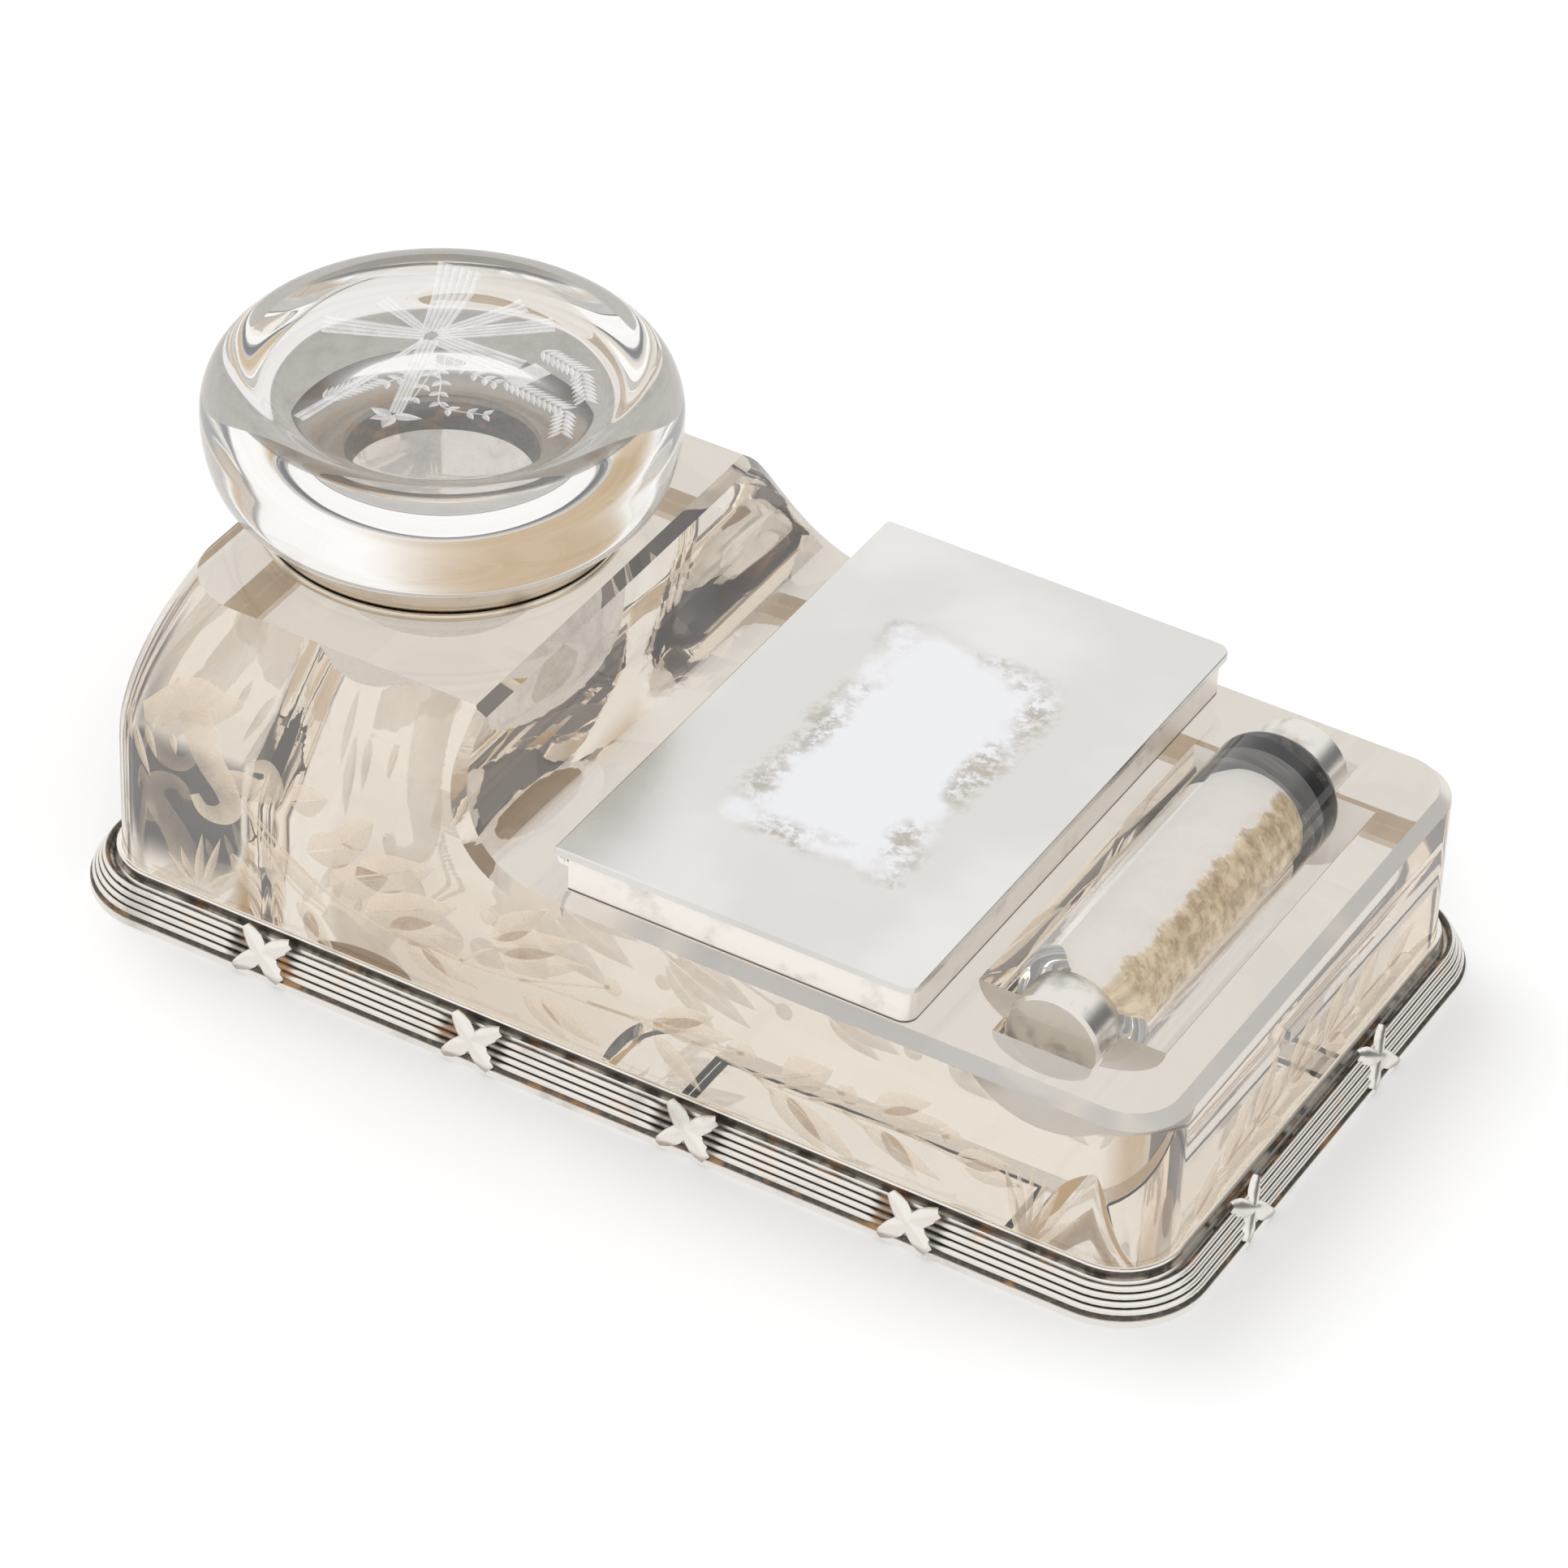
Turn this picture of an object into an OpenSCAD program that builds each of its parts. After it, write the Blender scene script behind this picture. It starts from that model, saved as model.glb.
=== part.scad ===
// Silver-mounted glass desk inkstand: a ground glass block with an inkwell, a pen scoop,
// a shallow stamp box and a glass moistening roller, standing in a reeded silver foot frame.
// +X runs along the length towards the roller, +Y to the back, +Z up; origin under the middle.

/* [Glass block] */
// Length of the glass block
block_l = 172.8; // [168:0.2:190]
// Width of the glass block
block_w = 95.4; // [94:0.2:104]
// Radius of the upright corners
block_r = 9; // [7:0.5:12]
// Height of the deck above the table
deck_z = 32.7; // [31:0.1:36]
// Height of the raised end above the table
top_z = 50; // [48:0.5:56]
// Height of the glass underside above the table
seat_z = 1.2; // [0.8:0.1:2]
// Width of the ground bevel round the deck
bevel = 1.8; // [1:0.1:2.4]
// Radius of the rounded side shoulders on the raised end
shoulder_r = 28.4; // [24:0.2:32]
// How far the side shoulders draw in at the top
shoulder_in = 11.5; // [9:0.5:14]
// Radius of the raised end's curved outer face
end_r = 70; // [60:1:80]
// How far the outer face draws in at the top
end_in = 5.3; // [4:0.1:7]

/* [Pen scoop] */
// Place of the arris where the raised end drops to the scoop
arris_x = -27.4; // [-29:0.1:-26]
// Radius of the scoop
scoop_r = 16; // [14:0.5:18]
// Depth of the scoop below the deck
scoop_dip = 2.5; // [1.5:0.1:3.5]
// Width of the bevel along the arris
arris_bevel = 1.6; // [1:0.1:2]

/* [Inkwell] */
// Place of the well's axis along the block
well_x = -58; // [-60:0.5:-56]
// Bore of the well in the glass
well_r = 16; // [15.5:0.5:20]
// Height of the well's floor above the table
well_floor = 21; // [16:1:22]
// Radius where the well's wall turns into its floor
well_fillet = 9; // [5:0.5:9]

/* [Well collar] */
// Outer radius of the collar's bead
bead_r = 27.3; // [26:0.1:28]
// Height of the collar above the glass
collar_h = 1.5; // [1.2:0.1:2.2]
// Depth of the collar's sleeve inside the well
sleeve_h = 6; // [3:0.5:10]
// Thickness of the collar's sleeve
sleeve_t = 0.9; // [0.6:0.1:1.2]
// Parting gap between collar and lid mount
lid_gap = 0.3; // [0.2:0.05:0.5]

/* [Ink lid] */
// Radius of the lid mount at its foot
mount_r = 26.8; // [26:0.1:27.2]
// Radius of the lid mount at its top
mount_top_r = 30; // [29:0.1:31]
// Height of the lid mount
mount_h = 5.4; // [4.5:0.1:6.5]
// Thickness of the lid mount's wall
mount_t = 1.2; // [0.8:0.1:1.5]
// Greatest radius of the lid's glass
lid_r = 34.7; // [33:0.1:36]
// Height of the lid's glass above its mount
lid_h = 18; // [15:0.2:20]
// Radius of the rounded rim round the lid's top
rim_r = 5.2; // [3.5:0.1:6]
// Height of the rounded rim above the lid's widest place
rim_h = 7; // [5:0.2:9]
// Width of the slope from the rim down to the dished top
dish_slope = 7; // [5:0.5:9]
// Depth of the dished top below the rim
dish_depth = 3.2; // [2:0.1:4]

/* [Ink lid hinge] */
// Distance from the well's axis to the hinge pin
hinge_y = 30.3; // [30.1:0.1:31]
// Radius of the hinge knuckles
knuckle_r = 1.5; // [1.3:0.1:1.6]
// Length of one knuckle
knuckle_l = 5; // [4:0.5:6]
// Radius of the hinge pin
pin_r = 0.7; // [0.5:0.05:0.8]

/* [Stamp box] */
// Hinge edge of the stamp cover
cover_x0 = -9.8; // [-10.4:0.1:-9.6]
// Length of the stamp cover along the block
cover_l = 57.4; // [55:0.2:58]
// Width of the stamp cover across the block
cover_w = 92.7; // [90:0.1:93]
// Thickness of the stamp cover
cover_t = 1.3; // [1:0.1:1.8]
// Radius of the cover's two front corners
cover_r = 2.2; // [1.5:0.1:4]
// How far the cover stands over the box's three plain walls
cover_lip = 0.8; // [0.5:0.1:1.2]
// Height of the box walls above the deck
box_h = 5.5; // [5:0.1:7]
// Thickness of the box walls
box_t = 1.2; // [0.8:0.1:1.6]
// Thickness of the box floor
floor_t = 0.7; // [0.5:0.1:1]
// Number of divisions between the stamp compartments
divider_n = 2; // [1:1:3]
// Thickness of a division
divider_t = 0.8; // [0.6:0.1:1.2]
// Radius of the cover's hinge knuckles
cover_knuckle_r = 0.8; // [0.7:0.05:0.9]
// Radius of the cover's hinge pin
cover_pin_r = 0.4; // [0.3:0.05:0.45]
// Number of knuckles on the cover's hinge
cover_knuckles = 5; // [3:2:9]

/* [Moistening roller] */
// Place of the roller's axis along the block
roller_x = 64.2; // [63.5:0.1:65]
// How far the roller's axis lies below the deck
roller_drop = 0.7; // [0:0.1:1.5]
// Radius of the glass roller
roller_r = 10; // [9:0.1:11]
// Length of the glass roller
roller_l = 61; // [56:0.5:62]
// Radius of the roller's silver caps
cap_r = 7.4; // [6.5:0.1:8]
// Length of a cap beyond the glass
cap_l = 6.8; // [5:0.1:7.5]
// Radius of the spigots that hold the caps
spigot_r = 6.2; // [5:0.1:6.4]
// Length of a spigot
spigot_l = 4.5; // [3:0.1:4.8]
// Radius of the water trough
trough_r = 14.5; // [13:0.1:15]
// End play between roller and trough
trough_play = 1; // [0.6:0.1:1.5]
// Depth of the cap slots beyond the trough
slot_l = 8.5; // [8.2:0.1:9]

/* [Foot frame] */
// How far the frame stands out from the glass
frame_out = 4.8; // [4.4:0.1:5.4]
// Height of the frame
frame_h = 6.8; // [6.4:0.1:7.4]
// Width of the ledge under the glass
ledge_w = 3; // [2:0.5:4]
// Thickness of the bezel against the glass
bezel_t = 0.8; // [0.6:0.1:1]
// Width of the hollow between the bezel and the reeds
hollow_w = 1.5; // [1.2:0.1:1.8]
// Depth of the hollow below the bezel's edge
hollow_d = 2.4; // [2:0.1:3]
// How far the highest reed's middle lies below the bezel's edge
reed_drop = 1.9; // [1.6:0.1:2.4]
// How far the lowest reed's middle lies in from the flange's edge
reed_in = 0.9; // [0.8:0.05:1.3]
// How far the lowest reed's middle lies above the flange
reed_up = 0.95; // [0.7:0.05:1.2]
// Number of reeds
reed_n = 4; // [3:1:5]
// Height of the plain flange under the reeds
flange_h = 1.1; // [0.8:0.1:1.3]
// Number of ribbon ties on a long side
ties_long = 4; // [3:1:5]
// Distance between ribbon ties on a long side
tie_pitch = 35.6; // [34:0.1:40]
// How far a long side's ties lie off its middle, towards the side's left end as you face it
tie_shift = 2; // [0:0.1:3]
// Distance between the two ribbon ties on a short side
tie_gap = 38.6; // [30:0.2:44]
// How far a short side's ties lie off its middle, towards the side's left end as you face it
tie_end_shift = 3.7; // [0:0.1:4]
// Width of a ribbon
ribbon_w = 2; // [1.2:0.1:2.4]
// Angle of a ribbon across the reeds
ribbon_lean = 50; // [40:1:55]
// Thickness of a ribbon
ribbon_t = 0.45; // [0.35:0.05:0.6]

/* [Clearances] */
// Fitting gap between parts that are fixed together
fit = 0.08; // [0.05:0.01:0.12]
// Half the running gap between hinge knuckles
hinge_gap = 0.15; // [0.1:0.01:0.2]
// Running gap of the roller's caps in their slots
slot_gap = 0.25; // [0.2:0.05:0.4]

/* [Hidden] */
$fn = 96;
past = 1;                                  // how far a cutter runs past the face it opens
lap = 0.02;                                // how far one cutter runs into the next

half_l = block_l / 2;
half_w = block_w / 2;
// where the shoulders and the outer face leave the upright
shoulder_z = top_z - sqrt(pow(shoulder_r, 2) - pow(shoulder_r - shoulder_in, 2));
end_z = top_z - sqrt(pow(end_r, 2) - pow(end_r - end_in, 2));

scoop_x = arris_x + scoop_r;
scoop_z = deck_z - scoop_dip + scoop_r;

collar_top = top_z + collar_h;
mount_z = collar_top + lid_gap;
mount_top = mount_z + mount_h;
lid_top = mount_top + lid_h;
hinge_z = top_z + knuckle_r + 0.5;

cover_gap = 0.3;                                   // gap between the cover and what lies under it
cover_axis_x = cover_x0 + cover_knuckle_r + 0.1;
body_x0 = cover_axis_x + cover_knuckle_r + cover_gap;    // hinge-side face of the stamp box
body_x1 = cover_x0 + cover_l - cover_lip;
body_w = cover_w - 2 * cover_lip;
box_top = deck_z + box_h;
cover_z = box_top + cover_gap;                     // underside of the cover
cover_axis_z = cover_z - cover_knuckle_r - cover_gap;
cover_knuckle_l = body_w / cover_knuckles;

roller_z = deck_z - roller_drop;
trough_half = roller_l / 2 + trough_play;
slot_r = cap_r + slot_gap;

reed_first = [bezel_t + hollow_w, frame_h - reed_drop];     // middle of the highest reed, out and up
reed_last = [frame_out - reed_in, flange_h + reed_up];   // middle of the lowest reed
reed_step = (reed_last - reed_first) / (reed_n - 1);
reed_r = norm(reed_step) / 2 + lap;

silver = "gainsboro";
pale_glass = [0.86, 0.81, 0.74];
clear_glass = [0.9, 0.92, 0.94];

// A flat slab with rounded upright corners, standing on z = 0
module rounded_slab(l, w, r, h) {
    translate([-l / 2 + r, -w / 2, 0]) cube([l - 2 * r, w, h]);
    translate([-l / 2, -w / 2 + r, 0]) cube([l, w - 2 * r, h]);
    for (x = [-1, 1], y = [-1, 1])
        translate([x * (l / 2 - r), y * (w / 2 - r), 0]) cylinder(h = h, r = r);
}

// The same slab drawn in by b at its top, so that its edge is a bevel of width b
module bevelled_slab(l, w, r, b) {
    across = [[-w / 2, 0], [w / 2, 0], [w / 2 - b, b], [-w / 2 + b, b]];
    along = [[-l / 2, 0], [l / 2, 0], [l / 2 - b, b], [-l / 2 + b, b]];
    translate([-l / 2 + r, 0, 0]) rotate([90, 0, 90]) linear_extrude(l - 2 * r) polygon(across);
    translate([0, w / 2 - r, 0]) rotate([90, 0, 0]) linear_extrude(w - 2 * r) polygon(along);
    for (x = [-1, 1], y = [-1, 1])
        translate([x * (l / 2 - r), y * (w / 2 - r), 0]) cylinder(h = b, r1 = r, r2 = r - b);
}

// What lies inside the two side shoulders
module shouldered_bar() {
    inner = half_w - shoulder_r;
    translate([-half_l - past, -half_w, 0]) cube([block_l, block_w, shoulder_z]);
    translate([-half_l - past, -inner, 0]) cube([block_l, 2 * inner, top_z + past]);
    for (s = [-1, 1]) translate([-half_l - past, s * inner, shoulder_z]) rotate([0, 90, 0])
        cylinder(h = block_l, r = shoulder_r);
}

// What lies inside the raised end's curved outer face
module bowed_end() {
    centre_x = end_r - half_l;
    translate([-half_l, -half_w - past, 0]) cube([end_r, block_w + 2 * past, end_z]);
    translate([centre_x, 0, end_z]) rotate([90, 0, 0])
        cylinder(h = block_w + 2 * past, r = end_r, center = true);
}

module raised_end() {
    intersection() {
        translate([0, 0, seat_z]) rounded_slab(block_l, block_w, block_r, top_z - seat_z);
        shouldered_bar();
        bowed_end();
        translate([-half_l - past, -half_w - past, 0])
            cube([half_l + past + scoop_x, block_w + 2 * past, top_z + past]);
    }
}

module scoop_cut() {
    // the ground scoop, flared at both ends into a bevel, and the open space above it
    intersection() {
        union() {
            translate([scoop_x, 0, scoop_z]) rotate([90, 0, 0])
                cylinder(h = block_w + 2 * past, r = scoop_r, center = true);
            for (s = [-1, 1])
                translate([scoop_x, s * half_w, scoop_z]) rotate([s * 90, 0, 0])
                    translate([0, 0, -past])
                        cylinder(h = bevel + past, r1 = scoop_r + bevel + past, r2 = scoop_r);
        }
        translate([-half_l, -half_w - past, 0])
            cube([half_l + body_x0 - fit, block_w + 2 * past, scoop_z + scoop_r]);
    }
    translate([arris_x + lap, -half_w - past, scoop_z])
        cube([2 * scoop_r, block_w + 2 * past, top_z]);
    // the bevel along the arris
    translate([arris_x - arris_bevel, -half_w - past, top_z]) rotate([0, 45, 0])
        cube([arris_bevel * sqrt(2), block_w + 2 * past, arris_bevel * 2]);
}

module well_cut() {
    translate([well_x, 0, well_floor]) rotate_extrude() {
        translate([0, well_fillet]) square([well_r, top_z - well_floor]);
        square([well_r - well_fillet, well_fillet + lap]);
        intersection() {
            translate([well_r - well_fillet, well_fillet]) circle(well_fillet);
            square([well_r, well_fillet + lap]);
        }
    }
}

module trough_cut() {
    translate([roller_x, 0, deck_z]) rotate([90, 0, 0])
        cylinder(h = 2 * trough_half, r = trough_r, center = true);
    for (s = [-1, 1]) {
        translate([roller_x, s * (trough_half + slot_l / 2 - lap), roller_z]) rotate([90, 0, 0])
            cylinder(h = slot_l + lap, r = slot_r, center = true);
        translate([roller_x - slot_r, s > 0 ? trough_half - lap : -trough_half - slot_l, roller_z])
            cube([2 * slot_r, slot_l + lap, roller_drop + past]);
    }
}

// The low part of the block, from the scoop to the roller's end
module deck() {
    intersection() {
        union() {
            translate([0, 0, seat_z])
                rounded_slab(block_l, block_w, block_r, deck_z - bevel - seat_z);
            translate([0, 0, deck_z - bevel]) bevelled_slab(block_l, block_w, block_r, bevel);
        }
        translate([scoop_x - past, -half_w - past, 0])
            cube([half_l - scoop_x + 2 * past, block_w + 2 * past, deck_z + past]);
    }
}

module glass_block() {
    color(pale_glass, 0.7) difference() {
        union() {
            deck();
            raised_end();
        }
        scoop_cut();
        well_cut();
        trough_cut();
    }
}

// Section of the foot frame: distance out from the glass, height
module frame_section() {
    polygon([[-ledge_w, 0], [frame_out, 0], [frame_out, flange_h], reed_last, reed_first,
             [bezel_t + hollow_w / 3, frame_h - hollow_d], [bezel_t, frame_h - hollow_d * 0.8],
             [bezel_t, frame_h - bezel_t / 4], [bezel_t * 0.75, frame_h], [fit, frame_h],
             [fit, seat_z - fit], [-ledge_w, seat_z - fit]]);
    for (i = [0 : reed_n - 1]) translate(reed_first + i * reed_step) circle(reed_r, $fn = 32);
}

module foot_frame() {
    color(silver) {
        for (s = [0, 180]) {
            rotate([0, 0, s]) translate([-half_l + block_r, -half_w, 0]) rotate([90, 0, 90])
                mirror([1, 0, 0]) linear_extrude(block_l - 2 * block_r) frame_section();
            rotate([0, 0, s + 90]) translate([-half_w + block_r, -half_l, 0]) rotate([90, 0, 90])
                mirror([1, 0, 0]) linear_extrude(block_w - 2 * block_r) frame_section();
            for (c = [0, 1])
                rotate([0, 0, s]) translate([half_l - block_r, (c * 2 - 1) * (half_w - block_r), 0])
                    rotate([0, 0, c * 90 - 90]) rotate_extrude(angle = 90)
                        translate([block_r, 0]) frame_section();
        }
    }
}

// One crossed ribbon, lying on the slope of the reeds, for a side that faces -Y
module ribbon_tie() {
    slope = atan2(reed_first[1] - reed_last[1], reed_last[0] - reed_first[0]);
    middle = (reed_first + reed_last) / 2;
    reach = norm(reed_last - reed_first) / 2 + reed_r;
    side = reach * tan(ribbon_lean);
    half_cut = ribbon_w / cos(ribbon_lean) / 2;
    translate([0, -middle[0], middle[1]]) rotate([slope, 0, 0]) translate([0, 0, reed_r + fit])
        linear_extrude(ribbon_t)
            for (s = [-1, 1]) polygon([
                [-s * side - half_cut, -reach], [-s * side + half_cut, -reach],
                [s * side + half_cut, reach], [s * side - half_cut, reach]]);
}

module ribbon_ties() {
    color(silver) for (s = [0, 180]) rotate([0, 0, s]) {
        for (i = [0 : ties_long - 1])
            translate([(i - (ties_long - 1) / 2) * tie_pitch - tie_shift, -half_w, 0]) ribbon_tie();
        for (i = [-1, 1]) rotate([0, 0, 90])
            translate([i * tie_gap / 2 - tie_end_shift, -half_l, 0]) ribbon_tie();
    }
}

module well_collar() {
    sleeve_out = well_r - fit;
    color(silver) translate([well_x, 0, top_z]) rotate_extrude() {
        translate([sleeve_out - sleeve_t, -sleeve_h]) square([sleeve_t, sleeve_h + collar_h]);
        translate([sleeve_out - sleeve_t, fit])
            square([bead_r - collar_h / 2 - sleeve_out + sleeve_t, collar_h - fit]);
        translate([bead_r - collar_h / 2 + fit / 2, collar_h / 2 + fit / 2])
            circle((collar_h - fit) / 2, $fn = 32);
    }
}

// A tube along X between two places, bored for the pin
module knuckle_tube(x0, x1, r, bore) {
    rotate([0, 90, 0]) translate([0, 0, x0]) difference() {
        cylinder(h = x1 - x0, r = r, $fn = 48);
        translate([0, 0, -past]) cylinder(h = x1 - x0 + 2 * past, r = bore, $fn = 48);
    }
}

module collar_knuckles() {
    lug = hinge_y - bead_r + 0.9;
    color(silver) for (s = [-1, 1]) {
        x0 = s > 0 ? knuckle_l / 2 + hinge_gap : -knuckle_l * 1.5 - hinge_gap;
        difference() {
            union() {
                translate([well_x, hinge_y, hinge_z])
                    knuckle_tube(x0, x0 + knuckle_l, knuckle_r, pin_r + fit);
                translate([well_x + x0, hinge_y - lug, top_z + fit])
                    cube([knuckle_l, lug, hinge_z - knuckle_r * 0.3 - top_z]);
            }
            translate([well_x + x0 - past, hinge_y, hinge_z]) rotate([0, 90, 0])
                cylinder(h = knuckle_l + 2 * past, r = pin_r + fit, $fn = 48);
            translate([well_x, 0, top_z - past])
                cylinder(h = collar_h + 3 * past, r = bead_r + fit);
        }
    }
}

module lid_knuckle() {
    lug_top = hinge_z + knuckle_r * 1.7;
    color(silver) difference() {
        union() {
            translate([well_x, hinge_y, hinge_z])
                knuckle_tube(-knuckle_l / 2, knuckle_l / 2, knuckle_r, pin_r + fit);
            translate([well_x - knuckle_l / 2, hinge_y - knuckle_r * 1.9, hinge_z])
                cube([knuckle_l, knuckle_r * 2.2, lug_top - hinge_z]);
        }
        translate([well_x - knuckle_l, hinge_y, hinge_z]) rotate([0, 90, 0])
            cylinder(h = 2 * knuckle_l, r = pin_r + fit, $fn = 48);
        translate([well_x, 0, mount_z]) mount_cone(fit);
    }
}

module lid_hinge_pin() {
    reach = knuckle_l * 1.5 + hinge_gap;
    color(silver) translate([well_x - reach, hinge_y, hinge_z]) rotate([0, 90, 0])
        cylinder(h = 2 * reach, r = pin_r, $fn = 48);
}

// The outside of the lid mount, grown by g
module mount_cone(g) {
    flare = (mount_top_r - mount_r) / mount_h;
    translate([0, 0, -g - past])
        cylinder(h = mount_h + 2 * g + 2 * past,
                 r1 = mount_r + g - flare * past, r2 = mount_top_r + g + flare * past);
}

module lid_mount() {
    shelf = 2.6;
    color(silver) translate([well_x, 0, mount_z]) rotate_extrude() polygon([
        [mount_r - shelf, 0], [mount_r, 0], [mount_top_r, mount_h], [mount_top_r - mount_t, mount_h],
        [mount_r - mount_t + (mount_top_r - mount_r) * mount_t / mount_h, mount_t / 1.5],
        [mount_r - shelf, mount_t / 1.5]]);
}

module lid_glass() {
    flare = (mount_top_r - mount_r) / mount_h;
    foot_z = mount_t / 1.5 + fit;
    foot_r = mount_r - mount_t + flare * foot_z - 2 * fit;
    neck_r = mount_top_r - mount_t - 2 * fit;
    rim_c = [lid_r - rim_r, lid_h - rim_h];
    side_n = 10;
    // the side swells from the mount to the rim as a quarter of an ellipse
    side = [for (i = [0 : side_n]) let (a = 90 * i / side_n)
            [mount_top_r + 0.3 + (lid_r - mount_top_r - 0.3) * sin(a), mount_h + rim_c[1] * (1 - cos(a))]];
    crown = [for (i = [1 : side_n]) let (a = 90 * i / side_n)
             [rim_c[0] + rim_r * cos(a), mount_h + rim_c[1] + rim_h * sin(a)]];
    // inside the rim the top falls away in an S to a shallow saucer
    saucer = [for (i = [1 : side_n]) let (t = i / side_n)
              [rim_c[0] - dish_slope * t, mount_h + lid_h - dish_depth * (1 - cos(180 * t)) / 2]];
    dish_r = rim_c[0] - dish_slope;
    color(clear_glass, 0.7) translate([well_x, 0, mount_z]) rotate_extrude() polygon(concat(
        [[0, foot_z + 2], [dish_r * 0.7, foot_z + 1.2], [foot_r - 2.5, foot_z], [foot_r, foot_z],
         [neck_r, mount_h], [neck_r, mount_h + fit], [mount_top_r + 0.3, mount_h + fit]],
        [for (i = [1 : side_n]) side[i]], crown, saucer, [[0, mount_h + lid_h - dish_depth - 0.7]]));
}

module stamp_walls() {
    l = body_x1 - body_x0;
    color(silver) difference() {
        union() {
            translate([body_x0, -body_w / 2, deck_z]) cube([l - cover_r, body_w, box_h]);
            translate([body_x0, -body_w / 2 + cover_r, deck_z]) cube([l, body_w - 2 * cover_r, box_h]);
            for (s = [-1, 1]) translate([body_x1 - cover_r, s * (body_w / 2 - cover_r), deck_z])
                cylinder(h = box_h, r = cover_r);
        }
        translate([body_x0 + box_t, -body_w / 2 + box_t, deck_z - past])
            cube([l - 2 * box_t, body_w - 2 * box_t, box_h + 2 * past]);
    }
}

module stamp_floor() {
    color(silver) translate([body_x0 + box_t + fit, -body_w / 2 + box_t + fit, deck_z + fit])
        cube([body_x1 - body_x0 - 2 * box_t - 2 * fit, body_w - 2 * box_t - 2 * fit, floor_t]);
}

module stamp_dividers() {
    inner_w = body_w - 2 * box_t;
    pitch = (inner_w + divider_t) / (divider_n + 1);
    floor_top = deck_z + floor_t + 2 * fit;
    color(silver) for (i = [1 : divider_n])
        translate([body_x0 + box_t + fit, -inner_w / 2 + i * pitch - divider_t, floor_top])
            cube([body_x1 - body_x0 - 2 * box_t - 2 * fit, divider_t, box_top - floor_top - 0.6]);
}

// One knuckle of the cover's hinge, along Y from y0 for length l
module cover_tube(y0, l) {
    translate([cover_axis_x, y0, cover_axis_z]) rotate([-90, 0, 0]) difference() {
        cylinder(h = l, r = cover_knuckle_r, $fn = 48);
        translate([0, 0, -past]) cylinder(h = l + 2 * past, r = cover_pin_r + fit / 2, $fn = 48);
    }
}

module box_knuckles() {
    color(silver) for (i = [0 : 2 : cover_knuckles - 1]) {
        y0 = -body_w / 2 + i * cover_knuckle_l + hinge_gap;
        len = cover_knuckle_l - 2 * hinge_gap;
        cover_tube(y0, len);
        translate([cover_axis_x + cover_pin_r + fit, y0, cover_axis_z - cover_knuckle_r])
            cube([body_x0 - cover_axis_x - cover_pin_r - 2 * fit, len, cover_knuckle_r]);
    }
}

module cover_hinge_knuckles() {
    color(silver) for (i = [1 : 2 : cover_knuckles - 1]) {
        y0 = -body_w / 2 + i * cover_knuckle_l + hinge_gap;
        len = cover_knuckle_l - 2 * hinge_gap;
        cover_tube(y0, len);
        translate([cover_axis_x - cover_knuckle_r, y0, cover_axis_z + cover_pin_r + fit])
            cube([cover_knuckle_r, len, cover_z - cover_axis_z - cover_pin_r - 2 * fit]);
    }
}

module cover_hinge_pin() {
    color(silver) translate([cover_axis_x, -body_w / 2, cover_axis_z]) rotate([-90, 0, 0])
        cylinder(h = body_w, r = cover_pin_r, $fn = 48);
}

module stamp_cover() {
    color(silver) {
        translate([cover_x0, -cover_w / 2, cover_z]) cube([cover_l - cover_r, cover_w, cover_t]);
        translate([cover_x0, -cover_w / 2 + cover_r, cover_z])
            cube([cover_l, cover_w - 2 * cover_r, cover_t]);
        for (s = [-1, 1])
            translate([cover_x0 + cover_l - cover_r, s * (cover_w / 2 - cover_r), cover_z])
                cylinder(h = cover_t, r = cover_r);
    }
}

module roller_barrel() {
    ease = 0.8;
    color(clear_glass, 0.7) translate([roller_x, 0, roller_z]) rotate([90, 0, 0]) {
        cylinder(h = roller_l - 2 * ease, r = roller_r, center = true);
        for (s = [0, 180]) rotate([s, 0, 0]) {
            translate([0, 0, roller_l / 2 - ease]) cylinder(h = ease, r1 = roller_r, r2 = roller_r - ease);
            translate([0, 0, roller_l / 2 - ease]) cylinder(h = ease + spigot_l, r = spigot_r);
        }
    }
}

// One cap, facing -Y
module roller_cap() {
    edge = 0.5;
    translate([roller_x, -roller_l / 2 - fit, roller_z]) rotate([90, 0, 0]) difference() {
        union() {
            cylinder(h = cap_l - edge, r = cap_r);
            translate([0, 0, cap_l - edge]) cylinder(h = edge, r1 = cap_r, r2 = cap_r - edge);
        }
        translate([0, 0, -past]) cylinder(h = spigot_l + past + fit, r = spigot_r + fit);
    }
}

module roller_cap_front() {
    color(silver) roller_cap();
}

module roller_cap_back() {
    color(silver) mirror([0, 1, 0]) roller_cap();
}

glass_block();
foot_frame();
ribbon_ties();
well_collar();
collar_knuckles();
lid_knuckle();
lid_hinge_pin();
lid_mount();
lid_glass();
stamp_walls();
stamp_floor();
stamp_dividers();
box_knuckles();
cover_hinge_knuckles();
cover_hinge_pin();
stamp_cover();
roller_barrel();
roller_cap_front();
roller_cap_back();
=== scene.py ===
import math
import bmesh
import bpy
from mathutils import Matrix, Vector


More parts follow.
